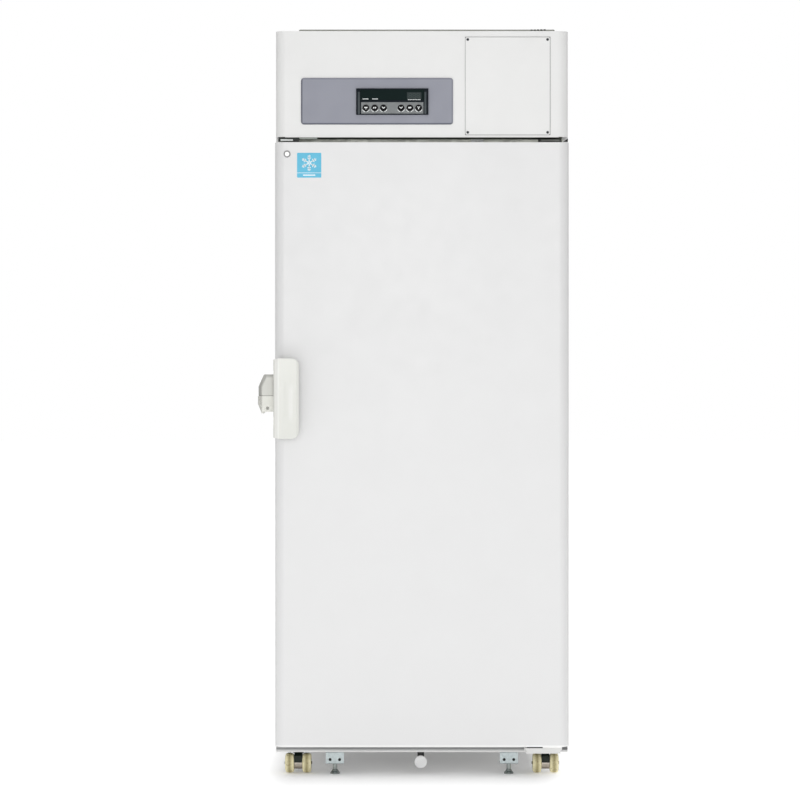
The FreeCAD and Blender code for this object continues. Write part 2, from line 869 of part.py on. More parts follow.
def condenser_fan():
    c = V(fan_x, shroud_y + shroud_deep + 8, fan_z)
    long = fan_hub_long
    hub = cyl(c.x, c.y - long / 2, c.z, fan_hub_r, long, Y)
    hub = hub.cut(cyl(c.x, c.y - long, c.z, shaft_r + pin_fit, 2 * long, Y))
    low = fan_hub_r - 2
    high = fan_r - 4
    blades = []
    for k in range(fan_blades):
        t = blade_thick
        x = blade_root
        y = blade_root_pitch
        root = [V(-x, -y, low), V(-x + t, -y - 1.2, low), V(x, y, low), V(x - t, y + 1.2, low)]
        x0 = blade_tip_lead
        x1 = blade_tip_trail
        y = blade_tip_pitch
        tip = [V(-x0, -y, high), V(-x0 + 0.6, -y - 1.3, high), V(x1, y, high), V(x1 - 0.6, y + 1.3, high)]
        wires = [Part.makePolygon(root + [root[0]]), Part.makePolygon(tip + [tip[0]])]
        blade = Part.makeLoft(wires, True, True)
        blade.translate(c)
        blade.rotate(c, Y, 360.0 * k / fan_blades)
        blades.append(blade)
    return joined([hub] + blades)


# Inside of the chamber
def evaporator_cover():
    t = evap_sheet
    y0 = evap_front
    y1 = chamber_back
    knee = chamber_top - evap_face
    slope = evap_slope
    yz = [(y1, evap_low), (y1, chamber_top), (y0, chamber_top), (y0, knee), (y0 + slope, evap_low)]
    x1 = cham - evap_side
    outer = prism_x(yz, -x1, x1)
    yz = [(y1 + 5, evap_low + t), (y1 + 5, chamber_top + 5), (y0 + t, chamber_top + 5),
          (y0 + t, knee - 0.5), (y0 + slope + t, evap_low + t)]
    shell = outer.cut(prism_x(yz, -x1 + t, x1 - t))
    span = x1 - evap_slot_w / 2 - 1
    pitch = 2 * span / evap_slots
    for i in range(evap_slots):
        x0 = -span + pitch * (i + 0.5) - evap_slot_w / 2
        for low in (1, 2.6):
            z = chamber_top - evap_slot_h * (low + 1)
            shell = shell.cut(box(x0, x0 + evap_slot_w, y0 - 5, y0 + 10, z, z + evap_slot_h))
    return shell


def posts():
    return [(sx, y) for sx in (-1, 1) for y in (post_front, post_rear)]


def shelf_levels():
    return [shelf_low + shelf_pitch * i for i in range(shelf_count)]


def shelf_posts():
    low = chamber_floor + post_end
    high = evap_low - post_end
    first = shelf_low - slot_pitch * int((shelf_low - low - slot_h) / slot_pitch)
    count = int((high - slot_h - first) / slot_pitch) + 1
    w = slot_w / 2
    strips = []
    for sx, y in posts():
        x0 = cham - post_t
        strip = box(x0, cham, y - post_w / 2, y + post_w / 2, low, high)
        for k in range(count):
            z = first + slot_pitch * k + 1
            strip = strip.cut(box(x0 - 1, cham + 1, y - w, y + w, z - slot_h / 2, z + slot_h / 2))
        if sx < 0:
            strip = strip.mirror(V(0, 0, 0), X)
        strips.append(strip)
    return strips


def shelf_clips():
    clips = []
    for level in shelf_levels():
        for sx, y in posts():
            x1 = cham - post_t
            t = clip_t
            x0 = x1 - clip_reach
            low = level - frame_wire_r
            xz = [(x1, low - 14), (x1, low + 10), (x1 - t, low + 10), (x1 - t, low), (x0 + t, low),
                  (x0 + t, low + 3), (x0, low + 3), (x0, low - t), (x1 - 5, low - t)]
            clip = prism_y(xz, y - clip_w / 2, y + clip_w / 2)
            w = slot_w / 2 - 0.4
            tongue = box(x1 - 0.5, cham - 0.4, y - w, y + w, level - 4.4, level + 3.0)
            clip = joined([clip, tongue])
            if sx < 0:
                clip = clip.mirror(V(0, 0, 0), X)
            clips.append(clip)
    return clips


def wire_shelf(level):
    r = frame_wire_r
    hx = shelf_half - r
    y0 = shelf_front + r
    y1 = shelf_back - r
    points = [V(0, y0, level), V(hx, y0, level), V(hx, y1, level), V(-hx, y1, level), V(-hx, y0, level),
              V(-0.01, y0, level)]
    loop = rod(points, r, frame_bend, 8)
    wires = [loop]
    up = r + wire_r * 0.75
    first = hx - frame_bend + 2
    count = int(2 * first / wire_pitch)
    for i in range(count + 1):
        x = -first + 2 * first * i / count
        wires.append(straight_wire(V(x, y0 - 1, level + up), V(x, y1 + 1, level + up), wire_r))
    for y in (y0 + (y1 - y0) / 3, y0 + (y1 - y0) * 2 / 3):
        wires.append(straight_wire(V(-hx, y, level), V(hx, y, level), r * 0.8, 8))
    return wires


def access_port():
    r = port_r
    long = back - chamber_back
    body = [(0, -4), (r + 9, -4), (r + 9, 0), (r, 0), (r, long), (r + 9, long), (r + 9, long + 4),
            (r + 6, long + 7), (0, long + 7)]
    return turned(body, V(port_x, chamber_back, port_z), Y)


# Door
def door_plan(inset, y1, z0, z1):
    points, radii = plan_shell(half - inset, front + inset, y1, edge_round - inset)
    return prism_z(points, z0, z1, radii)


def door_pockets():
    """Lock body and the space its cam turns in, up through the door's top."""
    body = cyl(lock_x, front - 1, lock_z, lock_body_r, lock_long + 1, Y)
    cam_y = front + lock_long
    reach = cam_wide / 2 + cam_room
    cam = box(lock_x - reach, lock_x + cam_long + cam_room, cam_y, cam_y + cam_thick + cam_room + cam_gap,
              lock_z - reach, door_top + 1)
    return [body, cam]


def bushes(z_down, z_up):
    low = cyl(hinge_x, hinge_y, door_bottom + z_down, bush_r, bush_long, Z)
    high = cyl(hinge_x, hinge_y, door_top - z_down - bush_long, bush_r, bush_long, Z)
    return [low, high]


def pin_bores(r, long):
    low = cyl(hinge_x, hinge_y, door_bottom - 1, r, long + 1, Z)
    high = cyl(hinge_x, hinge_y, door_top - long, r, long + 1, Z)
    return [low, high]


def door_skin():
    y1 = door_back - door_plate
    outer = door_plan(0, y1, door_bottom, door_top)
    inner = door_plan(door_sheet, y1 + 5, door_bottom + door_sheet, door_top - door_sheet)
    shell = joined([outer.cut(inner)] + bushes(door_sheet, 0))
    for tool in door_pockets() + pin_bores(pin_r + pin_fit, pin_long + 3):
        shell = shell.cut(tool)
    return shell


def door_foam():
    y1 = door_back - door_plate
    s = door_sheet
    body = door_plan(s, y1, door_bottom + s, door_top - s)
    for tool in door_pockets() + pin_bores(pin_r + 1.0, pin_long + 3) + bushes(s, 0):
        body = body.cut(tool)
    return body


def ring(xi, xo, y0, y1, zi0, zo0, zi1, zo1):
    outer = box(-xo, xo, y0, y1, zo0, zo1)
    inner = box(-xi, xi, y0 - 1, y1 + 1, zi0, zi1)
    return outer.cut(inner)


def door_liner():
    y0 = door_back - door_plate
    i = door_plate_in
    plate = box(-half + i, half - i, y0, door_back, door_bottom + i, door_top - i)
    px = cham - plug_gap
    z0 = chamber_floor + plug_gap
    z1 = chamber_top - plug_gap

    def tapered(inset_low, inset_high, y_low, y_high):
        wires = []
        for i, y in ((inset_low, y_low), (inset_high, y_high)):
            x = px - i
            points = [V(-x, y, z0 + i), V(x, y, z0 + i), V(x, y, z1 - i), V(-x, y, z1 - i)]
            wires.append(Part.makePolygon(points + [points[0]]))
        return Part.makeLoft(wires, True, True)

    plug = tapered(0, plug_draft, door_back - 0.5, door_back + plug_deep)
    bowl = tapered(plug_rim, plug_rim - plug_draft, door_back, door_back + plug_deep + 1)
    return joined([plate, plug]).cut(bowl)


def door_gasket():
    xi = cham + gasket_in
    xo = xi + gasket_wide
    zi0 = chamber_floor - gasket_in
    zi1 = chamber_top + gasket_in
    zo0 = zi0 - gasket_wide
    zo1 = zi1 + gasket_wide
    foot = ring(xi, xo, door_back, door_back + 4, zi0, zo0, zi1, zo1)
    neck = ring(xi + 4, xo - 4, door_back + 3, seal_y - 4, zi0 - 4, zo0 + 4, zi1 + 4, zo1 - 4)
    face = ring(xi + 2, xo - 2, seal_y - 5, seal_y - gasket_clear, zi0 - 2, zo0 + 2, zi1 + 2, zo1 - 2)
    return joined([foot, neck, face])


# Hinges
def lower_hinge():
    x1 = hinge_x + hinge_end
    x0 = x1 - lower_hinge_w
    top = door_bottom - hinge_gap
    y0 = front + 5.0
    plan = [(x0, seal_y), (x0, y0), (x1, y0), (x1, seal_y)]
    plate = prism_z(plan, top - hinge_plate, top, [0, 4.0, 4.0, 0])
    lip = box(x0 + 4, x1 - 4, y0, y0 + 3, top - lower_hinge_lip, top)
    wall = box(x0, x1, seal_y - 4, seal_y, base_z + 1, top)
    pin = cyl(hinge_x, hinge_y, top - 1, pin_r, pin_long + 5.0, Z)
    collar = cyl(hinge_x, hinge_y, top - 1, pin_r + 3.5, 4.5, Z)
    return joined([plate, lip, wall, pin, collar])


def upper_hinge():
    x1 = hinge_x + hinge_end
    x0 = x1 - upper_hinge_w
    low = door_top + hinge_gap
    y0 = hinge_y - 12.0
    plan = [(x0, seal_y), (x0, y0), (x1, y0), (x1, seal_y)]
    plate = prism_z(plan, low, low + hinge_plate, [0, 8.0, 8.0, 0])
    wall = box(x0, x1, seal_y - 4, seal_y, low - 2, deck_z - 0.5)
    pin = cyl(hinge_x, hinge_y, door_top - pin_long, pin_r, pin_long + 5.0, Z)
    return joined([plate, wall, pin])


# Lock and its keeper
def lock_housing():
    bore = lock_plug_r + pin_fit
    long = lock_long - 1
    bezel = [(bore, -2.0), (lock_bezel_r - 0.8, -2.0), (lock_bezel_r, -1.2), (lock_bezel_r, 0),
             (lock_body_r, 0), (lock_body_r, long), (bore, long)]
    return turned(bezel, V(lock_x, front, lock_z), Y)


def lock_cylinder():
    r = lock_plug_r
    plug = cyl(lock_x, front - 1.6, lock_z, r, lock_long + 2.2, Y)
    slot = box(lock_x - 0.8, lock_x + 0.8, front - 3, front + 4, lock_z - 3.6, lock_z + 3.6)
    y0 = front + lock_long + cam_gap
    w = cam_wide / 2
    x1 = lock_x + cam_long
    xz = [(lock_x - w, lock_z - w), (x1, lock_z - w), (x1, lock_z + w), (lock_x - w, lock_z + w)]
    arm = prism_y(xz, y0, y0 + cam_thick, [w * 0.67] * 4)
    return joined([plug, arm]).cut(slot)


def lock_keeper():
    x0 = lock_x - keeper_left
    x1 = lock_x + keeper_right
    y1 = front + lock_long + cam_gap - keeper_gap
    y0 = y1 - keeper_thick
    bar = box(x0, x1, y0, y1, door_top + keeper_lift, deck_z)
    shelf = box(x0, x1, y0, y1 + keeper_shelf, deck_z - 2.0, deck_z)
    return joined([bar, shelf])


def door_switch():
    x1 = half - switch_in + switch_w / 2
    z1 = deck_z - 0.5
    return box(x1 - switch_w, x1, seal_y - switch_deep, seal_y, z1 - switch_h, z1)


# Handle
def lug_levels():
    return [lever_mid - lug_pitch / 2, lever_mid + lug_pitch / 2]


def handle_base():
    y0 = front - base_plate
    x0 = -half + 2
    x1 = x0 + base_plate_w
    z0 = lever_low + base_end
    z1 = lever_high - base_end
    pieces = [prism_y([(x0, z0), (x1, z0), (x1, z1), (x0, z1)], y0, front, [6.0] * 4)]
    x = lever_pin_x
    r = lug_r
    for z in lug_levels():
        low = z - lug_high / 2
        pieces.append(cyl(x, lever_pin_y, low, r, lug_high, Z))
        pieces.append(box(x - r, x + r, lever_pin_y, y0 + 1, low, low + lug_high))
    pin = cyl(x, lever_pin_y, z0 - 2, lever_pin_r, z1 - z0 + 4, Z)
    pieces.append(pin)
    return joined(pieces)


def handle_lever():
    px = lever_pin_x
    py = lever_pin_y
    ridge_x = px - 1.0
    tip = lever_right
    points = [(lever_left, py - 3.0), (lever_left, lever_face + 15.0), (ridge_x, lever_face),
              (tip - 5.0, lever_face + 2.4), (tip, lever_face + 6.5), (tip, lever_face + 12.5),
              (tip - 12.0, lever_face + 3.0 + lever_wall), (px + 17.0, lever_face + 1.0 + lever_wall),
              (px + 12.0, py - 1.0), (px + 10.5, py + 6.5), (px + 2.0, py + 12.0), (px - 7.0, py + 9.8)]
    radii = [2.0, 3.0, 2.0, 6.0, 4.0, 2.0, 4.0, 4.0, 2.0, 3.0, 3.0, 3.0]
    body = prism_z(points, lever_low, lever_high, radii)
    c = lever_corner
    sight = [(lever_left - 1, lever_low + 3), (ridge_x, lever_low), (tip, lever_low), (tip, lever_high),
             (ridge_x, lever_high), (lever_left - 1, lever_high - 3)]
    mask = prism_y(sight, lever_face - 5, front + 5, [0, 0, c, c, 0, 0])
    body = body.common(mask)
    # Dished front for the fingers' reach, and slots for the two eyes
    dish = cyl(tip - 26.0, lever_face - 76.6, lever_mid - lever_h * 0.21, 78.4, lever_h * 0.42, Z)
    body = body.cut(dish)
    for z in lug_levels():
        high = lug_high / 2 + lug_clear
        body = body.cut(box(lever_left - 2, px + 16.0, py - lug_r - 1.0, front, z - high, z + high))
    return body.cut(cyl(px, py, lever_low - 1, lever_pin_r + pin_fit, lever_high - lever_low + 2, Z))


# Strike and padlock tab
def strike_hood():
    xo = -half - strike_out
    xi = -half - strike_clear
    y0 = strike_front
    y1 = strike_back
    z0 = split_z
    z1 = split_z + hood_h
    plan = [(-half, y1), (xo + 10, y1), (xo, y1 - 14), (xo, y0 + 13), (xo + 10, y0),
            (xi, y0), (xi, seal_y - 2), (-half, seal_y)]
    body = prism_z(plan, z0 + 0.6, z1, [0, 4, 4, 3, 2, 2, 0, 0])
    sight = [(-half, z0), (-half, z1), (xo + 15, z1), (xo, z1 - hood_slope), (xo, z0)]
    body = body.common(prism_y(sight, y0 - 1, y1 + 1, [0, 0, 4, 6, 0]))
    w = hood_wall
    side = -half + 2
    roof = z1 - w - 6
    end = y1 - strike_grip - 6
    plan = [(side - 1, end), (xo + w, end), (xo + w, y0 + 15), (xo + 12, y0 + w), (side - 1, y0 + w)]
    hollow = prism_z(plan, z0 + w, roof, [0, 2, 2, 2, 0])
    sight = [(side, z0 + w), (side, roof), (xo + 20, roof), (xo + w, z1 - hood_slope - w), (xo + w, z0 + w)]
    low = prism_y(sight, y0, y1)
    return body.cut(hollow.common(low))


def padlock_tab():
    xo = -half - strike_out - tab_more
    xi = -half - strike_clear
    y0 = strike_front
    y1 = strike_back
    z0 = split_z - tab_h
    t = tab_wall
    plan = [(-half, y1), (-half - t, y1), (xo, y1 - strike_grip), (xo, y0 + 13), (xo + 10, y0),
            (xi, y0), (xi, y0 + t), (xo + 12, y0 + t), (xo + t, y0 + 15), (xo + t, y1 - strike_grip - 3),
            (-half - 1.6, seal_y + 6), (-half, seal_y + 6)]
    body = prism_z(plan, z0 - 2, split_z - 0.4)
    sight = [(-half + 1, z0 + 5), (-half + 1, split_z), (xo - 1, split_z), (xo - 1, z0 + 28),
             (xo + 11, z0), (xo + 16, z0 + 5)]
    body = body.common(prism_y(sight, y0 - 1, y1 + 1))
    hole = cyl(-half - padlock_in, y0 - 1, z0 + padlock_up, padlock_r, t + 2, Y)
    return body.cut(hole)


# Casters
def caster_places():
    rows = ((caster_front, front_lift), (caster_rear, 0.0))
    return [(sx * caster_x, y, lift) for y, lift in rows for sx in (-1, 1)]


def caster_plates():
    """Top plates with their raceways, bolted under the cabinet."""
    plates = []
    for x, y, lift in caster_places():
        w = caster_plate_w / 2
        h = w - caster_hole_in
        points = [(x - w, y - w), (x + w, y - w), (x + w, y + w), (x - w, y + w)]
        plate = prism_z(points, base_z - caster_plate, base_z, [6.0] * 4)
        plate = plate.fuse(cyl(x, y, base_z - caster_plate - race_high, race_r, race_high, Z))
        for sx in (-1, 1):
            for sy in (-1, 1):
                plate = plate.cut(cyl(x + sx * h, y + sy * h, base_z - 5, caster_hole_r, 10, Z))
        plate = plate.cut(cyl(x, y, base_z - 6, king_r + pin_fit, 10, Z))
        plates.append(plate)
    return plates


def caster_housing(x, y, lift):
    """Black swivel body between the two wheels, with its king pin, axle and the sleeve round it."""
    ax_y = y - caster_trail
    ax_z = wheel_r + lift
    half_gap = wheel_gap / 2 - 0.8
    race = base_z - caster_plate - race_high
    reach = sleeve_r + 1.5
    yz = [(y + 15, race), (y + 17, race - 4), (ax_y + reach, ax_z + 2), (ax_y - reach, ax_z + 2),
          (ax_y - reach, race - 9), (ax_y - 4, race - 1.5), (y - 12, race)]
    body = prism_x(yz, x - half_gap, x + half_gap, [1, 2, 2, 2, 5, 1, 1])
    turn = cyl(x, y, race - turret_high, race_r - 2, turret_high - 0.1, Z)
    king = cyl(x, y, race - turret_high, king_r, turret_high + caster_plate, Z)
    sleeve = cyl(x - half_gap, ax_y, ax_z, sleeve_r, 2 * half_gap, X)
    axle_long = 2 * (wheel_gap / 2 + wheel_wide) + 4
    axle = cyl(x - axle_long / 2, ax_y, ax_z, axle_r, axle_long, X)
    return joined([body, turn, king, axle, sleeve])


def caster_wheels(x, y, lift):
    """Twin wheels with rounded treads and a hub dish, one each side of the housing."""
    ax_y = y - caster_trail
    ax_z = wheel_r + lift
    w = wheel_wide
    r = wheel_r
    bore = axle_r + pin_fit
    dish = r / 2
    c = wheel_round
    edge = [(c, 0), (0.42 * c, 0.25 * c), (0.14 * c, 0.72 * c), (0, 1.4 * c)]
    inner = [(r - drop, along) for drop, along in edge]
    outer = [(r - drop, w - along) for drop, along in reversed(edge)]
    profile = [(bore, 0)] + inner + outer + [(dish, w), (dish - 1.5, w - 3), (bore, w - 3)]
    right = turned(profile, V(x + wheel_gap / 2, ax_y, ax_z), X)
    left = right.mirror(V(x, 0, 0), X)
    return [left, right]


# Levelling feet
def foot_brackets():
    brackets = []
    for sx in (-1, 1):
        x = sx * foot_x
        w = foot_bracket_w / 2
        t = bracket_thick
        y0 = seal_y + bracket_back
        y1 = foot_y + foot_bracket_deep
        y2 = y1 + foot_bracket_flange
        low = foot_bracket_low
        yz = [(y0, low), (y1, low), (y1, low + t), (y0 + t, low + t), (y0 + t, base_z - t), (y2, base_z - t),
              (y2, base_z), (y0, base_z)]
        bracket = prism_x(yz, x - w, x + w, [2.5, 0, 0, 0.5, 0.5, 0, 0, 2.5])
        for s in (-1, 1):
            hole = cyl(x + s * foot_hole_pitch / 2, y0 - 1, low + foot_hole_up, foot_hole_r, t + 2, Y)
            bracket = bracket.cut(hole)
        bracket = bracket.cut(cyl(x, foot_y, low - 1, stem_r + pin_fit, t + 2, Z))
        nut = cyl(x, foot_y, low + t, stem_r + 4.5, nut_high, Z)
        nut = nut.cut(cyl(x, foot_y, low, stem_r + pin_fit, 12, Z))
        brackets.append(bracket)
        brackets.append(nut)
    return brackets


def levelling_foot(sx):
    r = stem_r
    p = foot_pad_r
    top = base_z - 11
    profile = [(0, 0), (p - 1, 0), (p, 1), (p, 3.5), (r + 2.5, 9), (r + 1, 12), (r, 13), (r, top - 1),
               (r - 1, top), (0, top)]
    return turned(profile, V(sx * foot_x, foot_y, 0), Z)


# Drain outlet under the front
def drain_elbow():
    r = drain_r
    upper = cyl(drain_x, drain_y, drain_z, r, base_z - drain_z, Z)
    flange = cyl(drain_x, drain_y, base_z - 2.5, r + 6, 2.5, Z)
    bend = Part.makeSphere(r, V(drain_x, drain_y, drain_z))
    spout = cyl(drain_x, drain_y - drain_spout, drain_z, r, drain_spout, Y)
    return joined([upper, flange, bend, spout])


def drain_cap():
    r = drain_cap_r
    y0 = drain_y - drain_spout - 4
    deep = drain_cap_deep
    bore = drain_r + 0.02
    disc = [(0, 0), (r - 1.5, 0), (r, 1.5), (r, deep), (bore, deep), (bore, 4), (0, 4)]
    return turned(disc, V(drain_x, y0, drain_z), Y)


save("left_side_panel", side_panel(-1))
save("right_side_panel", side_panel(1))
save("back_panel", back_panel())
save("bottom_panel", bottom_panel())
save("machine_deck", machine_deck())
save("foam_insulation", foam_insulation())
save("inner_liner", inner_liner())
save("breaker_frame", breaker_frame())
save("top_fascia", top_fascia())
save("recorder_cover", recorder_cover())
save("panel_screws", panel_screws())
save("control_plate", control_plate())
save("display_frame", display_frame())
save("display_window", display_window())
save("key_strip", key_strip())
for number, place in enumerate(key_places()):
    save("key_" + str(number + 1), key(place))
save("top_cover", top_cover())
save("rear_grille", rear_grille())
save("cord_gland", cord_gland())
save("compressor", compressor())
save("condenser_unit", condenser_unit())
save("condenser_fan", condenser_fan())
save("evaporator_cover", evaporator_cover())
save("shelf_posts", shelf_posts())
save("shelf_clips", shelf_clips())
shelf_wires = []
for level in shelf_levels():
    shelf_wires.append(joined(wire_shelf(level)))
save("wire_shelves", shelf_wires)
save("access_port", access_port())
save("door_skin", door_skin())
save("door_foam", door_foam())
save("door_liner", door_liner())
save("door_gasket", door_gasket())
save("lower_hinge", lower_hinge())
save("upper_hinge", upper_hinge())
save("lock_housing", lock_housing())
save("lock_cylinder", lock_cylinder())
save("lock_keeper", lock_keeper())
save("door_switch", door_switch())
save("handle_base", handle_base())
save("handle_lever", handle_lever())
save("strike_hood", strike_hood())
save("padlock_tab", padlock_tab())
save("caster_plates", caster_plates())
corners = ("front_left", "front_right", "rear_left", "rear_right")
for corner, place in zip(corners, caster_places()):
    save("caster_housing_" + corner, caster_housing(*place))
    save("caster_wheels_" + corner, caster_wheels(*place))
save("foot_brackets", foot_brackets())
save("levelling_foot_left", levelling_foot(-1))
save("levelling_foot_right", levelling_foot(1))
save("drain_elbow", drain_elbow())
save("drain_cap", drain_cap())
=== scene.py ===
from math import sin, cos, pi, radians

import bmesh
import bpy
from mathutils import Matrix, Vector


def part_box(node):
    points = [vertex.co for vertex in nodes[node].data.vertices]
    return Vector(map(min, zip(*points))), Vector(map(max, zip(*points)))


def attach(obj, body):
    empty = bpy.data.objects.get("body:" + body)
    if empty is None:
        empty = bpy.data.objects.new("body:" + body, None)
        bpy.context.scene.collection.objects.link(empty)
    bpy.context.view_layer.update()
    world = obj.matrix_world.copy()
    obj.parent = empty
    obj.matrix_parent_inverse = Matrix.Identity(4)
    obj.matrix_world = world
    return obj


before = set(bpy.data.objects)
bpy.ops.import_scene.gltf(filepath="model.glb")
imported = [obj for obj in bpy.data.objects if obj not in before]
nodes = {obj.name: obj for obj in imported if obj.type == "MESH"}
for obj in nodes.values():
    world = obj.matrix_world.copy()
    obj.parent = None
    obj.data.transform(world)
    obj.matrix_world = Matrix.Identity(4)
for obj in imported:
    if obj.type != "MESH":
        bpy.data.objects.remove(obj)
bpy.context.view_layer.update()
print("frame loaded:", len(nodes), "nodes")

cabinetMiddle = Vector((22.25, 13.0, 0.0))      # mm, the cabinet's own middle in the frame


# A place in mm from the cabinet's middle and the floor, as metres in the frame
def at(x, y, z):
    return (Vector((x, y, z)) + cabinetMiddle) / 1000


# A node's lowest and highest corners in the same mm
def corners(node):
    low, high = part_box(node)
    return Vector(low) * 1000 - cabinetMiddle, Vector(high) * 1000 - cabinetMiddle


def xAt(x):
    return at(x, 0, 0).x


def yAt(y):
    return at(0, y, 0).y


# Camera, floor and studio light; the floor glows less under the freezer, a painted shadow
view = {"focal": 129.1, "sensor": 36.0, "away": 7.5, "high": 0.990, "slide": -21.9 / 800, "doorFace": -415.0}
studio = {"skyFront": 0.60, "skySides": 0.21, "skyAbove": 0.30, "sideSpan": (0.25, 0.95),
          "aboveSpan": (0.65, 0.95), "background": 1.0,
          "keyPower": 92.0, "keySize": 4.0, "keyAway": 7.0, "keyHigh": 0.9,
          "spotPower": 27.0, "spotSize": 0.6, "spotHigh": 1.72,
          "stripPower": 2.0, "stripSize": (0.35, 3.0), "stripPlace": (-4.6, -5.2, 1.5),
          "stripTarget": (0, -0.4, 1.0),
          "paper": (0.92, 0.92, 0.92, 1), "paperFar": 60.0,
          "glowInPaintedShadow": 0.105, "glowOpen": 0.55, "glowStart": (0.31, 0.25), "glowReach": (0.09, 0.42)}


def placed(name, data):
    thing = bpy.data.objects.new(name, data)
    bpy.context.scene.collection.objects.link(thing)
    return thing


def makeCamera():
    lens = bpy.data.cameras.new("photoCamera")
    lens.lens = view["focal"]
    lens.sensor_width = view["sensor"]
    lens.shift_x = view["slide"]
    camera = placed("photoCamera", lens)
    spot = at(0, view["doorFace"], 0)
    camera.location = (spot.x, spot.y - view["away"], view["high"])
    camera.rotation_euler = (radians(90), 0, 0)
    bpy.context.scene.camera = camera


def makeLight(name, power, size, place, target):
    lamp = bpy.data.lights.new(name, "AREA")
    lamp.shape = "RECTANGLE"
    lamp.size, lamp.size_y = size
    lamp.energy = power
    light = placed(name, lamp)
    light.location = place
    light.rotation_euler = (Vector(target) - Vector(place)).to_track_quat("-Z", "Y").to_euler()


def makeSky():
    world = bpy.data.worlds.new("studioWorld")
    bpy.context.scene.world = world
    world.use_nodes = True
    tree = world.node_tree
    tree.nodes.clear()
    seen = tree.nodes.new("ShaderNodeBackground")
    seen.inputs["Strength"].default_value = studio["background"]
    soft = tree.nodes.new("ShaderNodeBackground")
    way = tree.nodes.new("ShaderNodeSeparateXYZ")
    tree.links.new(tree.nodes.new("ShaderNodeTexCoord").outputs["Generated"], way.inputs[0])
    sideways = maths(tree, "ABSOLUTE", way.outputs[0])      # darker at the sides than in front, brighter above
    above = ranged(tree, way.outputs[2], 0, studio["skyAbove"], *studio["aboveSpan"])
    level = ranged(tree, sideways, studio["skyFront"], studio["skySides"], *studio["sideSpan"])
    tree.links.new(plus(tree, above, level), soft.inputs["Strength"])
    for sky in (seen, soft):
        sky.inputs["Color"].default_value = (1, 1, 1, 1)
    mix = tree.nodes.new("ShaderNodeMixShader")
    out = tree.nodes.new("ShaderNodeOutputWorld")
    tree.links.new(tree.nodes.new("ShaderNodeLightPath").outputs["Is Camera Ray"], mix.inputs[0])
    tree.links.new(soft.outputs[0], mix.inputs[1])
    tree.links.new(seen.outputs[0], mix.inputs[2])
    tree.links.new(mix.outputs[0], out.inputs[0])


def makeStudio():
    bpy.context.scene.view_settings.view_transform = "Standard"
    makeSky()
    makeLight("frontSoftbox", studio["keyPower"], (studio["keySize"], studio["keySize"]),
              (0.0, -studio["keyAway"], studio["keyHigh"]), (0, 0, studio["keyHigh"]))
    makeLight("headSpot", studio["spotPower"], (studio["spotSize"], studio["spotSize"]),
              (0.0, -studio["keyAway"], studio["spotHigh"]), (0, 0, studio["spotHigh"]))
    makeLight("leftStrip", studio["stripPower"], studio["stripSize"], studio["stripPlace"],
              studio["stripTarget"])
    far = studio["paperFar"]
    mesh = bpy.data.meshes.new("studioFloor")
    mesh.from_pydata([(-far, -far, 0), (far, -far, 0), (far, far, 0), (-far, far, 0)], [], [(0, 1, 2, 3)])
    floor = placed("studioFloor", mesh)
    mesh.materials.append(paperFinish())


# Nodes that every finish is made of. ranged goes from low to high as its value goes from start to end.
def noise(tree, coords, scale, detail=3.0, rough=0.55, stretch=None):
    if stretch:
        mapping = tree.nodes.new("ShaderNodeMapping")
        mapping.inputs["Scale"].default_value = stretch
        tree.links.new(coords, mapping.inputs["Vector"])
        coords = mapping.outputs["Vector"]
    grain = tree.nodes.new("ShaderNodeTexNoise")
    grain.inputs["Scale"].default_value = scale
    grain.inputs["Detail"].default_value = detail
    grain.inputs["Roughness"].default_value = rough
    tree.links.new(coords, grain.inputs["Vector"])
    return grain.outputs["Fac"]


def joinedNoise(tree, x, y, z, scale):
    joint = tree.nodes.new("ShaderNodeCombineXYZ")
    for slot, value in enumerate((x, y, z)):
        tree.links.new(value, joint.inputs[slot])
    return noise(tree, joint.outputs[0], scale, 4.0, 0.65)


def ranged(tree, value, low, high, start=0.0, end=1.0):
    node = tree.nodes.new("ShaderNodeMapRange")
    node.inputs["From Min"].default_value = start
    node.inputs["From Max"].default_value = end
    node.inputs["To Min"].default_value = low
    node.inputs["To Max"].default_value = high
    tree.links.new(value, node.inputs["Value"])
    return node.outputs["Result"]


def maths(tree, what, a, b=None):
    node = tree.nodes.new("ShaderNodeMath")
    node.operation = what
    for slot, value in ((0, a), (1, b)):
        if value is None:
            continue
        if isinstance(value, (int, float)):
            node.inputs[slot].default_value = value
        else:
            tree.links.new(value, node.inputs[slot])
    return node.outputs[0]


def plus(tree, a, b):
    return maths(tree, "ADD", a, b)


def minus(tree, a, b):
    return maths(tree, "SUBTRACT", a, b)


def times(tree, a, b):
    return maths(tree, "MULTIPLY", a, b)


def less(tree, a, b):
    return maths(tree, "LESS_THAN", a, b)


# How far two places along one direction lie apart
def apart(tree, a, b):
    return maths(tree, "ABSOLUTE", minus(tree, a, b))


def mixed(tree, share, a, b):
    node = tree.nodes.new("ShaderNodeMix")
    node.data_type = "RGBA"
    tree.links.new(share, node.inputs["Factor"])
    for slot, value in (("A", a), ("B", b)):
        place = [i for i in node.inputs if i.name == slot and i.type == "RGBA"][0]
        if isinstance(value, tuple):
            place.default_value = value
        else:
            tree.links.new(value, place)
    return [o for o in node.outputs if o.type == "RGBA"][0]


# A number that turns into another one where the share is 1
def shifted(tree, share, a, b):
    if isinstance(a, (int, float)):
        return ranged(tree, share, a, b)
    return plus(tree, a, times(tree, share, minus(tree, b, a)))


# 1 between low and high, fading to 0 over soft on either side
def band(tree, value, low, high, soft):
    return times(tree, ranged(tree, value, 0, 1, low - soft, low), ranged(tree, value, 1, 0, high, high + soft))


def shade(colour, by):
    return tuple(min(1.0, c * by) for c in colour[:3]) + (1.0,)


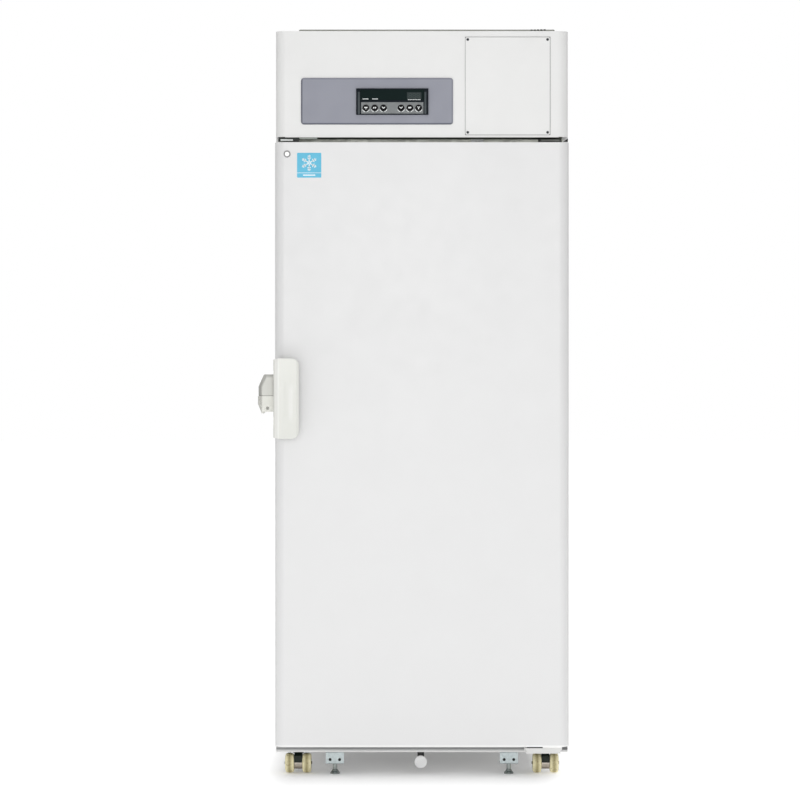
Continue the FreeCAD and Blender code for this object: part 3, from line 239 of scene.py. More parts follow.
# Linear colour from 0 to 255 values, as a paint chart gives them
def srgb(r, g, b):
    scaled = [c / 255 for c in (r, g, b)]
    return tuple(c / 12.92 if c <= 0.04045 else ((c + 0.055) / 1.055) ** 2.4 for c in scaled) + (1.0,)


# Painted, moulded or plated finish: uneven colour, fine grain and uneven gloss.
# A zone gives other values where its own function, read in the frame's metres, says 1.
def surface(name, colour, rough=0.45, metal=0.0, tint=0.03, tintScale=9.0, grain=0.08, grainScale=700.0,
            grainDepth=0.0002, stretch=None, roughSpread=0.08, specular=None, zones=()):
    finish = bpy.data.materials.new(name)
    finish.use_nodes = True
    tree = finish.node_tree
    shader = tree.nodes["Principled BSDF"]
    coords = tree.nodes.new("ShaderNodeTexCoord").outputs["Object"]
    broad = noise(tree, coords, tintScale, 4.0)
    colourOut = mixed(tree, ranged(tree, broad, 0, 1, 0.3, 0.7), shade(colour, 1 - tint), shade(colour, 1 + tint))
    gloss = noise(tree, coords, tintScale * 3, 5.0)
    roughOut = ranged(tree, gloss, rough - roughSpread, rough + roughSpread, 0.25, 0.75)
    metalOut = metal
    if zones:
        split = tree.nodes.new("ShaderNodeSeparateXYZ")
        tree.links.new(coords, split.inputs[0])
        x, y, z = split.outputs
    for zone in zones:
        share = zone["where"](tree, x, y, z)
        colourOut = mixed(tree, share, colourOut, mixed(tree, broad, shade(zone["colour"], 1 - tint),
                                                        shade(zone["colour"], 1 + tint)))
        if "rough" in zone:
            roughOut = shifted(tree, share, roughOut, zone["rough"])
        if "metal" in zone:
            metalOut = shifted(tree, share, metalOut, zone["metal"])
    tree.links.new(colourOut, shader.inputs["Base Color"])
    tree.links.new(roughOut, shader.inputs["Roughness"])
    if isinstance(metalOut, (int, float)):
        shader.inputs["Metallic"].default_value = metalOut
    else:
        tree.links.new(metalOut, shader.inputs["Metallic"])
    if specular is not None:
        shader.inputs["Specular IOR Level"].default_value = specular
    raised(tree, shader, noise(tree, coords, grainScale, 2.0, 0.5, stretch), grain, grainDepth)
    return finish


def raised(tree, shader, height, strength, depth):
    bump = tree.nodes.new("ShaderNodeBump")
    bump.inputs["Strength"].default_value = strength
    bump.inputs["Distance"].default_value = depth
    tree.links.new(height, bump.inputs["Height"])
    tree.links.new(bump.outputs["Normal"], shader.inputs["Normal"])


# White paper under the studio's light with a painted glow of its own, weak under the freezer as a painted shadow and
# strong away from it
def paperFinish():
    paper = surface("studioPaper", studio["paper"], rough=0.9, tint=0.004, tintScale=2.0, grain=0.02,
                    grainScale=300.0, roughSpread=0.02, specular=0.1)
    shader = paper.node_tree.nodes["Principled BSDF"]
    shader.inputs["Emission Color"].default_value = (1, 1, 1, 1)
    tree = paper.node_tree
    split = tree.nodes.new("ShaderNodeSeparateXYZ")
    tree.links.new(tree.nodes.new("ShaderNodeTexCoord").outputs["Object"], split.inputs[0])
    squares = []
    for side in (0, 1):
        start, reach = studio["glowStart"][side], studio["glowReach"][side]
        out = ranged(tree, maths(tree, "ABSOLUTE", split.outputs[side]), 0, 1, start, start + reach)
        squares.append(times(tree, out, out))
    out = maths(tree, "SQRT", plus(tree, *squares))
    # Painted shadow: the glow is weakest over the freezer's footprint
    tree.links.new(ranged(tree, out, studio["glowInPaintedShadow"], studio["glowOpen"]), shader.inputs["Emission Strength"])
    return paper


# Zinc-plated steel with its crystal pattern
def spangled(name, colour, scale=160.0, rough=0.42, metal=0.75):
    finish = bpy.data.materials.new(name)
    finish.use_nodes = True
    tree = finish.node_tree
    shader = tree.nodes["Principled BSDF"]
    coords = tree.nodes.new("ShaderNodeTexCoord").outputs["Object"]
    cells = tree.nodes.new("ShaderNodeTexVoronoi")
    cells.inputs["Scale"].default_value = scale
    tree.links.new(coords, cells.inputs["Vector"])
    split = tree.nodes.new("ShaderNodeSeparateColor")
    tree.links.new(cells.outputs["Color"], split.inputs["Color"])
    share = plus(tree, times(tree, split.outputs[0], 0.6), times(tree, noise(tree, coords, 420.0, 4.0), 0.4))
    tree.links.new(mixed(tree, share, shade(colour, 0.84), shade(colour, 1.1)), shader.inputs["Base Color"])
    tree.links.new(ranged(tree, split.outputs[1], rough - 0.1, rough + 0.12), shader.inputs["Roughness"])
    shader.inputs["Metallic"].default_value = metal
    raised(tree, shader, share, 0.08, 0.0001)
    return finish


def dress(finish, *names):
    for name in names:
        mesh = nodes[name].data
        mesh.materials.clear()
        mesh.materials.append(finish)


# Lays a surface of its own on the nodes
def coat(names, finish, colour, **values):
    dress(surface(finish, colour, **values), *names)


# Painted sheet, insulation and the chamber
# The sill's dark colour and the gasket's fold colour are painted shade; the door's lower colour and the white edge
# colour are painted light
paints = {"cabinet": srgb(225, 225, 224), "door": srgb(220, 220, 220), "doorLowPaintedLight": srgb(230, 230, 230),
          "foam": srgb(226, 206, 150), "liner": srgb(232, 234, 236), "breaker": srgb(222, 223, 223),
          "gasket": srgb(196, 197, 198), "gasketFold": srgb(140, 141, 143), "sillPaintedShade": srgb(120, 121, 122),
          "zinc": srgb(190, 197, 198), "deck": srgb(226, 228, 218), "steel": srgb(188, 190, 192),
          "copper": srgb(196, 118, 82), "rubber": srgb(28, 28, 29), "shelf": srgb(214, 217, 220),
          "paintedHighlight": srgb(255, 255, 254)}

# Fades of its zones: share at the start and at the end, then the two heights in metres. The sill's lower edge gets a
# painted highlight for the floor's light.
paintFades = {"sillDarkens": (0.0, 0.9, 0.0625, 0.0693), "sillEases": (0.0, 0.4, 0.0700, 0.0718),
              "sillPaintedLight": (1.0, 0.0, 0.0618, 0.0642), "doorFootHighlight": (1.0, 0.0, 0.0850, 0.0880),
              "doorLowPaintedLight": (1.0, 0.0, 0.1, 1.2)}
paintEnds = {"sillFront": -334.5, "sillTop": 0.0845, "fold": (-347.2, -341.2), "foldSoft": 0.0006}


# Painted shade on the sill, on the cabinet's front under the door
def sillShade(tree, x, y, z):
    front = less(tree, y, yAt(paintEnds["sillFront"]))
    below = times(tree, less(tree, z, paintEnds["sillTop"]), front)
    dark = minus(tree, ranged(tree, z, *paintFades["sillDarkens"]), ranged(tree, z, *paintFades["sillEases"]))
    return times(tree, dark, below)


def fade(part):
    return lambda tree, x, y, z: ranged(tree, z, *paintFades[part])


# Painted shade in the gasket's fold, a darker band across its depth
def gasketFoldShade(tree, x, y, z):
    start, end = paintEnds["fold"]
    return band(tree, y, yAt(start), yAt(end), paintEnds["foldSoft"])


def dressCabinet():
    # The cabinet's front under the door gets painted shade
    coat(["left_side_panel", "right_side_panel", "back_panel", "bottom_panel", "top_fascia", "recorder_cover",
          "top_cover", "rear_grille"],
         "cabinetPaint", paints["cabinet"], rough=0.36, tint=0.012, grain=0.12, grainScale=900.0,
         grainDepth=0.00015, roughSpread=0.05,
         zones=[{"where": sillShade, "colour": paints["sillPaintedShade"], "rough": 0.8}])
    # The door's lower part is painted lighter, painted light, and its foot gets a painted highlight
    coat(["door_skin"], "doorPaint", paints["door"], rough=0.34, tint=0.01, grain=0.12, grainScale=900.0,
         grainDepth=0.00015, roughSpread=0.05,
         zones=[{"where": fade("doorLowPaintedLight"), "colour": paints["doorLowPaintedLight"]},
                {"where": fade("doorFootHighlight"), "colour": paints["paintedHighlight"]}])
    dress(spangled("zincSheet", paints["deck"], 90.0, rough=0.5, metal=0.35), "machine_deck")
    coat(["foam_insulation", "door_foam"], "foamCore", paints["foam"], rough=0.9, tint=0.07, tintScale=30.0,
         grain=0.6, grainScale=500.0, grainDepth=0.001)
    coat(["inner_liner", "evaporator_cover", "door_liner"], "linerEnamel", paints["liner"], rough=0.32,
         tint=0.008, grain=0.1, grainScale=500.0, roughSpread=0.03)
    # The breaker frame's sill gets painted shade, with a painted highlight along its lower edge
    coat(["breaker_frame"], "breakerPlastic", paints["breaker"], rough=0.4, tint=0.02, grain=0.15,
         grainScale=1200.0,
         zones=[{"where": sillShade, "colour": paints["sillPaintedShade"], "rough": 0.8},
                {"where": fade("sillPaintedLight"), "colour": paints["paintedHighlight"]}])
    coat(["door_gasket"], "gasketVinyl", paints["gasket"], rough=0.55, tint=0.05, tintScale=20.0, grain=0.2,
         grainScale=1500.0, zones=[{"where": gasketFoldShade, "colour": paints["gasketFold"]}])
    coat(["access_port"], "portPlug", paints["breaker"], rough=0.6, tint=0.04, grain=0.3, grainScale=900.0)
    coat(["wire_shelves"], "shelfCoating", paints["shelf"], rough=0.35, tint=0.03, grain=0.1, grainScale=1200.0)
    coat(["shelf_posts", "shelf_clips"], "postSteel", paints["steel"], rough=0.34, metal=0.9, tint=0.04,
         grain=0.15, grainScale=900.0, stretch=(1, 1, 0.03))


# Control panel
# The plate's edge colour is painted shade on its bevel
panelPaints = {"plate": srgb(138, 140, 151), "plateEdgeShade": srgb(88, 91, 104), "module": srgb(17, 24, 31),
               "window": srgb(11, 27, 26), "strip": srgb(104, 107, 108), "key": srgb(10, 10, 12),
               "screw": srgb(66, 68, 71)}
plateBevel = {"corner": 0.008, "wide": (0.0052, 0.0036), "side": 0.004, "faint": 0.3}      # metres


# Painted shade on the plate's bevel: dark at the left and below, faint at the right and on top
def plateEdgeShade(tree, x, y, z):
    low, high = [at(*c) for c in corners("control_plate")]
    middle, half, r = (low + high) / 2, (high - low) / 2, plateBevel["corner"]
    past = [minus(tree, apart(tree, value, middle[axis]), half[axis] - r)
            for value, axis in ((x, 0), (z, 2))]
    out = [maths(tree, "MAXIMUM", value, 0.0) for value in past]
    far = maths(tree, "SQRT", plus(tree, times(tree, out[0], out[0]), times(tree, out[1], out[1])))
    inside = maths(tree, "MINIMUM", maths(tree, "MAXIMUM", past[0], past[1]), 0.0)
    start, end = plateBevel["wide"]
    rim = ranged(tree, plus(tree, far, inside), 0.0, 1.0, r - start, r - end)
    side = plateBevel["side"]
    leftOrLow = maths(tree, "MAXIMUM", less(tree, x, low.x + side), less(tree, z, low.z + side))
    return times(tree, rim, maths(tree, "MAXIMUM", leftOrLow, plateBevel["faint"]))


def dressControls():
    coat(["control_plate"], "platePaint", panelPaints["plate"], rough=0.42, tint=0.02, grain=0.25,
         grainScale=1500.0, zones=[{"where": plateEdgeShade, "colour": panelPaints["plateEdgeShade"]}])
    coat(["display_frame"], "modulePlastic", panelPaints["module"], rough=0.45, tint=0.06, grain=0.3,
         grainScale=1800.0, specular=0.08)
    coat(["display_window"], "smokedAcrylic", panelPaints["window"], rough=0.2, tint=0.05, grain=0.02,
         roughSpread=0.04, specular=0.03)
    coat(["key_strip"], "stripFilm", panelPaints["strip"], rough=0.38, metal=0.35, tint=0.05, tintScale=60.0,
         grain=0.15, grainScale=900.0, stretch=(0.04, 1, 1))
    coat(["key_" + str(number) for number in range(1, 7)], "keyRubber", panelPaints["key"], rough=0.5, tint=0.1,
         grain=0.25, grainScale=2400.0, specular=0.12)
    coat(["panel_screws"], "screwSteel", panelPaints["screw"], rough=0.38, metal=0.7, tint=0.1, tintScale=200.0,
         grain=0.2, grainScale=2600.0)


# Handle, strike, lock and hinges
# The lever's ridge, rim, dish and side colours are painted highlights; the hood's and the tab's edge colours are
# painted shade
handlePaints = {"lever": srgb(215, 216, 210), "base": srgb(206, 206, 200), "hood": srgb(212, 212, 206),
                "hoodEdge": srgb(140, 140, 135), "tab": srgb(228, 228, 221), "tabPaintedShade": srgb(160, 160, 154),
                "ridge": srgb(248, 248, 244), "rim": srgb(250, 250, 246), "dish": srgb(228, 228, 225),
                "leverSideHighlight": srgb(246, 246, 242)}
# The upper hinge's and the keeper's dark colours are painted shade of the gap over the door
hardwarePaints = {"hinge": srgb(222, 222, 220), "upperHinge": srgb(84, 86, 82), "ring": srgb(124, 124, 125),
                  "plug": srgb(238, 237, 232), "keeper": srgb(30, 34, 32), "switch": srgb(226, 228, 226)}


# Stripes of painted highlight down the lever: from and to in mm, softness in metres, share. The side is the facet on
# the door's edge side, painted lighter towards the ridge; the ridge, the rim and the dish get painted highlights.
leverStripes = {"ridge": (-375.4, -372.6, 0.0018, 0.8), "side": (-382.5, -376.0, 0.003, 0.75),
                "rim": (-324.0, -316.0, 0.002, 0.35), "dish": (-343.5, -339.5, 0.006, 0.6)}
dishSpan = (0.955, 1.015, 0.025)      # its two heights and its softness in metres
strikeZones = {"slant": 0.482, "slantStart": -920.0, "outline": -427.0, "facet": (0.75, 0.0, 0.005, 0.0095),
               "top": (0.0, 0.6, 1.047, 1.0535), "front": (-398.0, -392.0), "tabFacet": (-419.5, -416.0),
               "tabShare": 0.75, "spots": (0.35, 1.0, 0.4, 0.6), "spotScale": 260.0}


def stripe(part):
    start, end, soft, share = leverStripes[part]
    return lambda tree, x, y, z: times(tree, band(tree, x, xAt(start), xAt(end), soft), share)


def leverDishHighlight(tree, x, y, z):
    return times(tree, stripe("dish")(tree, x, y, z), band(tree, z, *dishSpan))


def strikeFront(tree, y):      # only the facet that faces forward, not the strike's sides
    start, end = strikeZones["front"]
    return ranged(tree, y, 1.0, 0.0, yAt(start), yAt(end))


# Painted shade on the hood's sloping top and its outer facet; the facet runs along the slanted outline
def hoodFacetShade(tree, x, y, z):
    slant = plus(tree, times(tree, z, strikeZones["slant"]), xAt(strikeZones["slantStart"]))
    outline = maths(tree, "MAXIMUM", slant, xAt(strikeZones["outline"]))
    outer = ranged(tree, minus(tree, x, outline), *strikeZones["facet"])
    edge = maths(tree, "MAXIMUM", outer, ranged(tree, z, *strikeZones["top"]))
    return times(tree, edge, strikeFront(tree, y))


# Painted shade on the tab's outer facet, broken into spots
def tabPaintedShade(tree, x, y, z):
    start, end = strikeZones["tabFacet"]
    facet = ranged(tree, x, strikeZones["tabShare"], 0.0, xAt(start), xAt(end))
    spots = ranged(tree, joinedNoise(tree, x, y, z, strikeZones["spotScale"]), *strikeZones["spots"])
    return times(tree, times(tree, facet, spots), strikeFront(tree, y))


def dressHardware():
    coat(["handle_lever"], "leverPlastic", handlePaints["lever"], rough=0.24, tint=0.012, roughSpread=0.04,
         grain=0.15, grainScale=1300.0,
         zones=[{"where": leverDishHighlight, "colour": handlePaints["dish"]},
                {"where": stripe("side"), "colour": handlePaints["leverSideHighlight"]},
                {"where": stripe("rim"), "colour": handlePaints["rim"]},
                {"where": stripe("ridge"), "colour": handlePaints["ridge"], "rough": 0.2}])
    coat(["handle_base"], "handleBasePlastic", handlePaints["base"], rough=0.42, tint=0.03, grain=0.2)
    coat(["strike_hood"], "hoodPlastic", handlePaints["hood"], rough=0.4, tint=0.02, grain=0.2,
         grainScale=1300.0, zones=[{"where": hoodFacetShade, "colour": handlePaints["hoodEdge"]}])
    coat(["padlock_tab"], "tabPlastic", handlePaints["tab"], rough=0.4, tint=0.02, grain=0.35, grainScale=420.0,
         grainDepth=0.0004, zones=[{"where": tabPaintedShade, "colour": handlePaints["tabPaintedShade"]}])
    coat(["lower_hinge"], "hingePaint", hardwarePaints["hinge"], rough=0.4, tint=0.03, grain=0.15,
         grainScale=900.0)
    # The upper hinge is coloured dark grey as painted shade in the gap over the door
    coat(["upper_hinge"], "upperHingeShaded", hardwarePaints["upperHinge"], rough=0.45, metal=0.6, tint=0.06,
         grain=0.2)
    coat(["lock_housing"], "lockRing", hardwarePaints["ring"], rough=0.36, metal=0.55, tint=0.05,
         tintScale=90.0, grain=0.1, grainScale=1500.0)
    coat(["lock_cylinder"], "lockPlug", hardwarePaints["plug"], rough=0.34, metal=0.3, tint=0.03,
         tintScale=90.0, grain=0.1, grainScale=1500.0)
    # The keeper is coloured near black as painted shade in the gap over the door
    coat(["lock_keeper"], "keeperShaded", hardwarePaints["keeper"], rough=0.5, metal=0.2, tint=0.1,
         tintScale=60.0, grain=0.25)
    coat(["door_switch"], "switchPlastic", hardwarePaints["switch"], rough=0.4, tint=0.03, grain=0.2)


# Casters, feet and drain
underPaints = {"tyre": srgb(238, 229, 188), "tread": srgb(148, 137, 92), "scuff": srgb(104, 84, 52),
               "body": srgb(17, 27, 20), "sleeve": srgb(182, 174, 164), "sleeveLow": srgb(104, 92, 86),
               "bracket": srgb(178, 187, 188), "foot": srgb(150, 156, 154), "cap": srgb(226, 226, 226)}
wheelZones = {"hubR": 0.0132, "treadMiddle": 0.0228, "treadFade": (0.85, 0.0, 0.001, 0.0085),
              "outer": (0.0, 1.0, 0.022, 0.0245), "scuffScale": 150.0, "scuffSpots": (0.0, 0.7, 0.58, 0.66),
              "sleeveTop": 0.0018, "sleeveHalf": 0.0115, "sleeveLow": (0.9, 0.0, -0.0155, -0.007)}      # metres
casterCorners = ("front_left", "front_right", "rear_left", "rear_right")


# Distance from a wheel's axle, with how far aside and above its middle a point lies
def fromAxle(tree, corner, x, y, z):
    low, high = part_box("caster_wheels_" + corner)
    middle = (Vector(low) + Vector(high)) / 2
    dy = minus(tree, y, middle.y)
    dz = minus(tree, z, middle.z)
    away = maths(tree, "SQRT", plus(tree, times(tree, dy, dy), times(tree, dz, dz)))
    return away, apart(tree, x, middle.x), dz


def casterFinishes(corner):
    tag = corner.title().replace("_", "")

    def sleeve(tree, x, y, z):
        aside, above = fromAxle(tree, corner, x, y, z)[1:]
        low = less(tree, above, wheelZones["sleeveTop"])
        return times(tree, low, less(tree, aside, wheelZones["sleeveHalf"]))

    def sleeveBottom(tree, x, y, z):
        low = ranged(tree, fromAxle(tree, corner, x, y, z)[2], *wheelZones["sleeveLow"])
        return times(tree, low, sleeve(tree, x, y, z))

    def tread(tree, x, y, z):      # the middle of each tread runs dirty
        away, aside = fromAxle(tree, corner, x, y, z)[:2]
        off = apart(tree, aside, wheelZones["treadMiddle"])
        worn = ranged(tree, off, *wheelZones["treadFade"])
        return times(tree, worn, ranged(tree, away, *wheelZones["outer"]))

    def scuffs(tree, x, y, z):
        away = fromAxle(tree, corner, x, y, z)[0]
        spots = ranged(tree, joinedNoise(tree, x, y, z, wheelZones["scuffScale"]), *wheelZones["scuffSpots"])
        return times(tree, spots, ranged(tree, away, *wheelZones["outer"]))

    def hub(tree, x, y, z):
        return less(tree, fromAxle(tree, corner, x, y, z)[0], wheelZones["hubR"])

    body = surface("casterBody" + tag, underPaints["body"], rough=0.5, tint=0.3, tintScale=120.0, grain=0.25,
                   grainScale=1400.0, specular=0.3,
                   zones=[{"where": sleeve, "colour": underPaints["sleeve"], "rough": 0.34, "metal": 0.7},
                          {"where": sleeveBottom, "colour": underPaints["sleeveLow"]}])
    tyre = surface("casterTyre" + tag, underPaints["tyre"], rough=0.52, tint=0.12, tintScale=160.0, grain=0.3,
                   grainScale=900.0, grainDepth=0.0003,
                   zones=[{"where": tread, "colour": underPaints["tread"]},
                          {"where": scuffs, "colour": underPaints["scuff"]},
                          {"where": hub, "colour": paints["steel"], "rough": 0.34, "metal": 0.85}])
    return body, tyre


def dressUnderside():
    dress(spangled("casterPlateZinc", paints["zinc"], 240.0), "caster_plates")
    dress(spangled("bracketZinc", underPaints["bracket"], 260.0), "foot_brackets")
    dress(spangled("footZinc", underPaints["foot"], 300.0, rough=0.15, metal=1.0), "levelling_foot_left",
          "levelling_foot_right")
    for corner in casterCorners:
        body, tyre = casterFinishes(corner)
        dress(body, "caster_housing_" + corner)
        dress(tyre, "caster_wheels_" + corner)
    coat(["drain_elbow", "cord_gland"], "drainRubber", paints["rubber"], rough=0.6, tint=0.1, grain=0.3)
    coat(["drain_cap"], "capPlastic", underPaints["cap"], rough=0.4, tint=0.02, grain=0.15)


# Cooling machine
machinePaints = {"compressor": srgb(24, 24, 26), "terminal": srgb(52, 53, 56), "alloy": srgb(176, 180, 184),
                 "shroud": srgb(126, 131, 134), "motor": srgb(34, 35, 37), "fan": srgb(30, 31, 33)}


# Where its parts meet: heights and half widths in metres, places along x and y in mm
machineZones = {"padTop": 1.6908, "terminal": 101.5, "stub": (130.0, 0.0075, 1.8795), "fins": -110.3,
                "coilMiddle": -190.0, "coilHalf": 0.1206, "motor": (-100.0, -37.5)}


def dressMachine():
    def pads(tree, x, y, z):
        return less(tree, z, machineZones["padTop"])

    def terminal(tree, x, y, z):
        return less(tree, y, yAt(machineZones["terminal"]))

    def stub(tree, x, y, z):
        middle, half, start = machineZones["stub"]
        beside = less(tree, apart(tree, x, xAt(middle)), half)
        return times(tree, beside, maths(tree, "GREATER_THAN", z, start))

    def fins(tree, x, y, z):
        return less(tree, y, yAt(machineZones["fins"]))

    def tubes(tree, x, y, z):
        aside = apart(tree, x, xAt(machineZones["coilMiddle"]))
        return maths(tree, "GREATER_THAN", aside, machineZones["coilHalf"])

    def motor(tree, x, y, z):
        right, front = machineZones["motor"]
        return times(tree, maths(tree, "GREATER_THAN", y, yAt(front)), less(tree, x, xAt(right)))

    coat(["compressor"], "compressorEnamel", machinePaints["compressor"], rough=0.32, tint=0.1, grain=0.15,
         zones=[{"where": terminal, "colour": machinePaints["terminal"], "rough": 0.5},
                {"where": stub, "colour": paints["copper"], "rough": 0.3, "metal": 0.9},
                {"where": pads, "colour": paints["rubber"], "rough": 0.7}])
    coat(["condenser_unit"], "condenserMetals", machinePaints["shroud"], rough=0.42, metal=0.5, tint=0.05,
         grain=0.15,
         zones=[{"where": fins, "colour": machinePaints["alloy"], "metal": 0.9},
                {"where": motor, "colour": machinePaints["motor"], "metal": 0.1},
                {"where": tubes, "colour": paints["copper"], "rough": 0.3, "metal": 0.9}])
    coat(["condenser_fan"], "fanPlastic", machinePaints["fan"], rough=0.5, tint=0.08, grain=0.2)


# Mesh making: flat outlines pushed through a thickness, and turned heads
outlineAxes = {"x": ((0, 1, 0), (0, 0, 1), (1, 0, 0)), "y": ((1, 0, 0), (0, 0, 1), (0, 1, 0)),
               "z": ((1, 0, 0), (0, 1, 0), (0, 0, 1))}


def ringOf(shell, points, axis, depth):
    u, v, w = [Vector(a) for a in outlineAxes[axis]]
    return [shell.verts.new(at(*(u * a + v * b + w * depth))) for a, b in points]


def joinRings(shell, first, second):
    count = len(first)
    for k in range(count):
        shell.faces.new((first[k], first[(k + 1) % count], second[(k + 1) % count], second[k]))


def addPrism(shell, points, axis, start, thick):
    low, high = [ringOf(shell, points, axis, depth) for depth in (start, start + thick)]
    joinRings(shell, low, high)
    shell.faces.new(low)
    shell.faces.new(high)


def addFrame(shell, outer, inner, axis, start, thick):
    rings = [ringOf(shell, points, axis, depth) for depth in (start, start + thick) for points in (outer, inner)]
    joinRings(shell, rings[0], rings[1])
    joinRings(shell, rings[2], rings[3])
    joinRings(shell, rings[0], rings[2])
    joinRings(shell, rings[1], rings[3])


# Turned shape about an axis through a place, from (radius, along) points that start and end on the axis
def addTurned(shell, place, axis, profile, sides=18):
    u, v, w = [Vector(a) for a in outlineAxes[axis]]
    rings = []
    for radius, along in profile:
        middle = Vector(place) + w * along
        spots = [middle]
        if radius:
            turns = [2 * pi * k / sides for k in range(sides)]
            spots = [middle + (u * cos(turn) + v * sin(turn)) * radius for turn in turns]
        rings.append([shell.verts.new(at(*spot)) for spot in spots])
    for first, second in zip(rings, rings[1:]):
        for k in range(sides):
            n = (k + 1) % sides
            spots = [first[k % len(first)], first[n % len(first)],
                     second[n % len(second)], second[k % len(second)]]
            shell.faces.new(dict.fromkeys(spots))


def makePiece(name, shell, finish, body="cabinet", soften=0.0):
    bmesh.ops.recalc_face_normals(shell, faces=shell.faces)
    if soften:
        edges = [e for e in shell.edges if len(e.link_faces) == 2 and e.calc_face_angle() > 0.6]
        bmesh.ops.bevel(shell, geom=edges, offset=soften / 1000, segments=2, affect="EDGES", profile=0.6)
    mesh = bpy.data.meshes.new(name)
    shell.to_mesh(mesh)
    shell.free()
    mesh.shade_smooth()
    mesh.set_sharp_from_angle(angle=radians(35))
    mesh.materials.append(finish)
    piece = placed(name, mesh)
    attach(piece, body)
    return piece


def bar(x0, z0, x1, z1, wide):      # straight stroke between two points
    run = Vector((x1 - x0, z1 - z0))
    across = Vector((-run.y, run.x)).normalized() * wide / 2
    return [(x0 + across.x, z0 + across.y), (x0 - across.x, z0 - across.y),
            (x1 - across.x, z1 - across.y), (x1 + across.x, z1 + across.y)]


def disc(x, z, r, sides=20):
    return [(x + r * cos(2 * pi * k / sides), z + r * sin(2 * pi * k / sides)) for k in range(sides)]


def block(x0, z0, x1, z1):
    return [(x0, z0), (x1, z0), (x1, z1), (x0, z1)]


def roundedPlate(x0, z0, x1, z1, r, sides=6):
    points = []
    for cx, cz, start in ((x1 - r, z1 - r, 0), (x0 + r, z1 - r, 90),
                          (x0 + r, z0 + r, 180), (x1 - r, z0 + r, 270)):
        for k in range(sides + 1):
            angle = radians(start + 90 * k / sides)
            points.append((cx + r * cos(angle), cz + r * sin(angle)))
    return points


def plates(shapes, face, thick):
    shell = bmesh.new()
    for shape in shapes:
        addPrism(shell, shape, "y", face, thick)
    return shell


# Plain blue sticker with a frost sign on the door
sticker = {"x": -294.7, "z": 1603.8, "wide": 63.5, "high": 65.0, "corner": 2.5, "thick": 0.15, "face": -415.0,
           "frostReach": 21.0, "frostLift": 6.0, "stroke": 2.6, "hubR": 1.5, "twigs": ((0.45, 6.0), (0.72, 5.0)),
           "twigLean": 0.72, "twigStroke": 0.75, "line": (12.5, 1.1), "bar": (6.5, 3.0, 16.0),
           "blue": srgb(84, 182, 214), "white": srgb(232, 244, 248)}


def makeSticker():
    x, z, w, h = sticker["x"], sticker["z"], sticker["wide"] / 2, sticker["high"] / 2
    y = sticker["face"] - sticker["thick"]
    blue = surface("stickerBlue", sticker["blue"], rough=0.4, tint=0.04, tintScale=30.0, grain=0.05)
    makePiece("frostSticker", plates([roundedPlate(x - w, z - h, x + w, z + h, sticker["corner"])], y,
                                     sticker["thick"]), blue, "door")
    shapes = []
    middle = Vector((x, z + sticker["frostLift"]))
    for arm in range(6):
        angle = radians(90 + 60 * arm)
        out = Vector((cos(angle), sin(angle)))
        side = Vector((-out.y, out.x))
        tip = middle + out * sticker["frostReach"]
        shapes.append(bar(*(middle + out * sticker["hubR"]), *tip, sticker["stroke"]))
        for share, long in sticker["twigs"]:
            foot = middle + out * sticker["frostReach"] * share
            for hand in (-1, 1):
                end = foot + (out + side * hand) * sticker["twigLean"] * long
                shapes.append(bar(*foot, *end, sticker["stroke"] * sticker["twigStroke"]))
    up, wide = sticker["line"]
    shapes.append(bar(x - w, z - h + up, x + w, z - h + up, wide))
    up, wide, half = sticker["bar"]
    shapes.append(bar(x - half, z - h + up, x + half, z - h + up, wide))
    white = surface("stickerWhite", sticker["white"], rough=0.4, tint=0.02, grain=0.05)
    makePiece("frostSign", plates(shapes, y - 0.05, 0.05), white, "door")


# Display: segment panel, lamp signs, printed dashes and the posts at its sides
display = {"panel": (-39.0, -1.5, 3.6, 20.8), "panelCorner": 0.8, "panelThick": 0.06, "digits": 3, "digitPitch": 10.3,
           "digitStart": 8.5, "segment": 1.1, "digitHalf": 6.0, "levelHalf": 2.6, "uprightAside": 3.4,
           "uprightEnds": (0.8, 0.7), "lampSigns": (-155.0, -129.8), "lampUp": 3.4,
           "lampDashes": (5, 3.1, 2.3, 2.4), "printStart": 2.5, "printUp": 1.5, "printDashes": (8, 4.2, 3.2, 1.9),
           "posts": ((-167.6, -162.2), (6.4, 11.6)), "postEnds": (1738.5, 1796.0),
           "glass": srgb(46, 55, 55), "ghost": srgb(66, 78, 76), "print": srgb(226, 230, 230),
           "post": srgb(44, 54, 58)}


# Dashes in a row: how many, pitch, length and width
def dashRow(x, z, row):
    count, pitch, long, wide = row
    return [bar(x + pitch * k, z, x + pitch * k + long, z, wide) for k in range(count)]


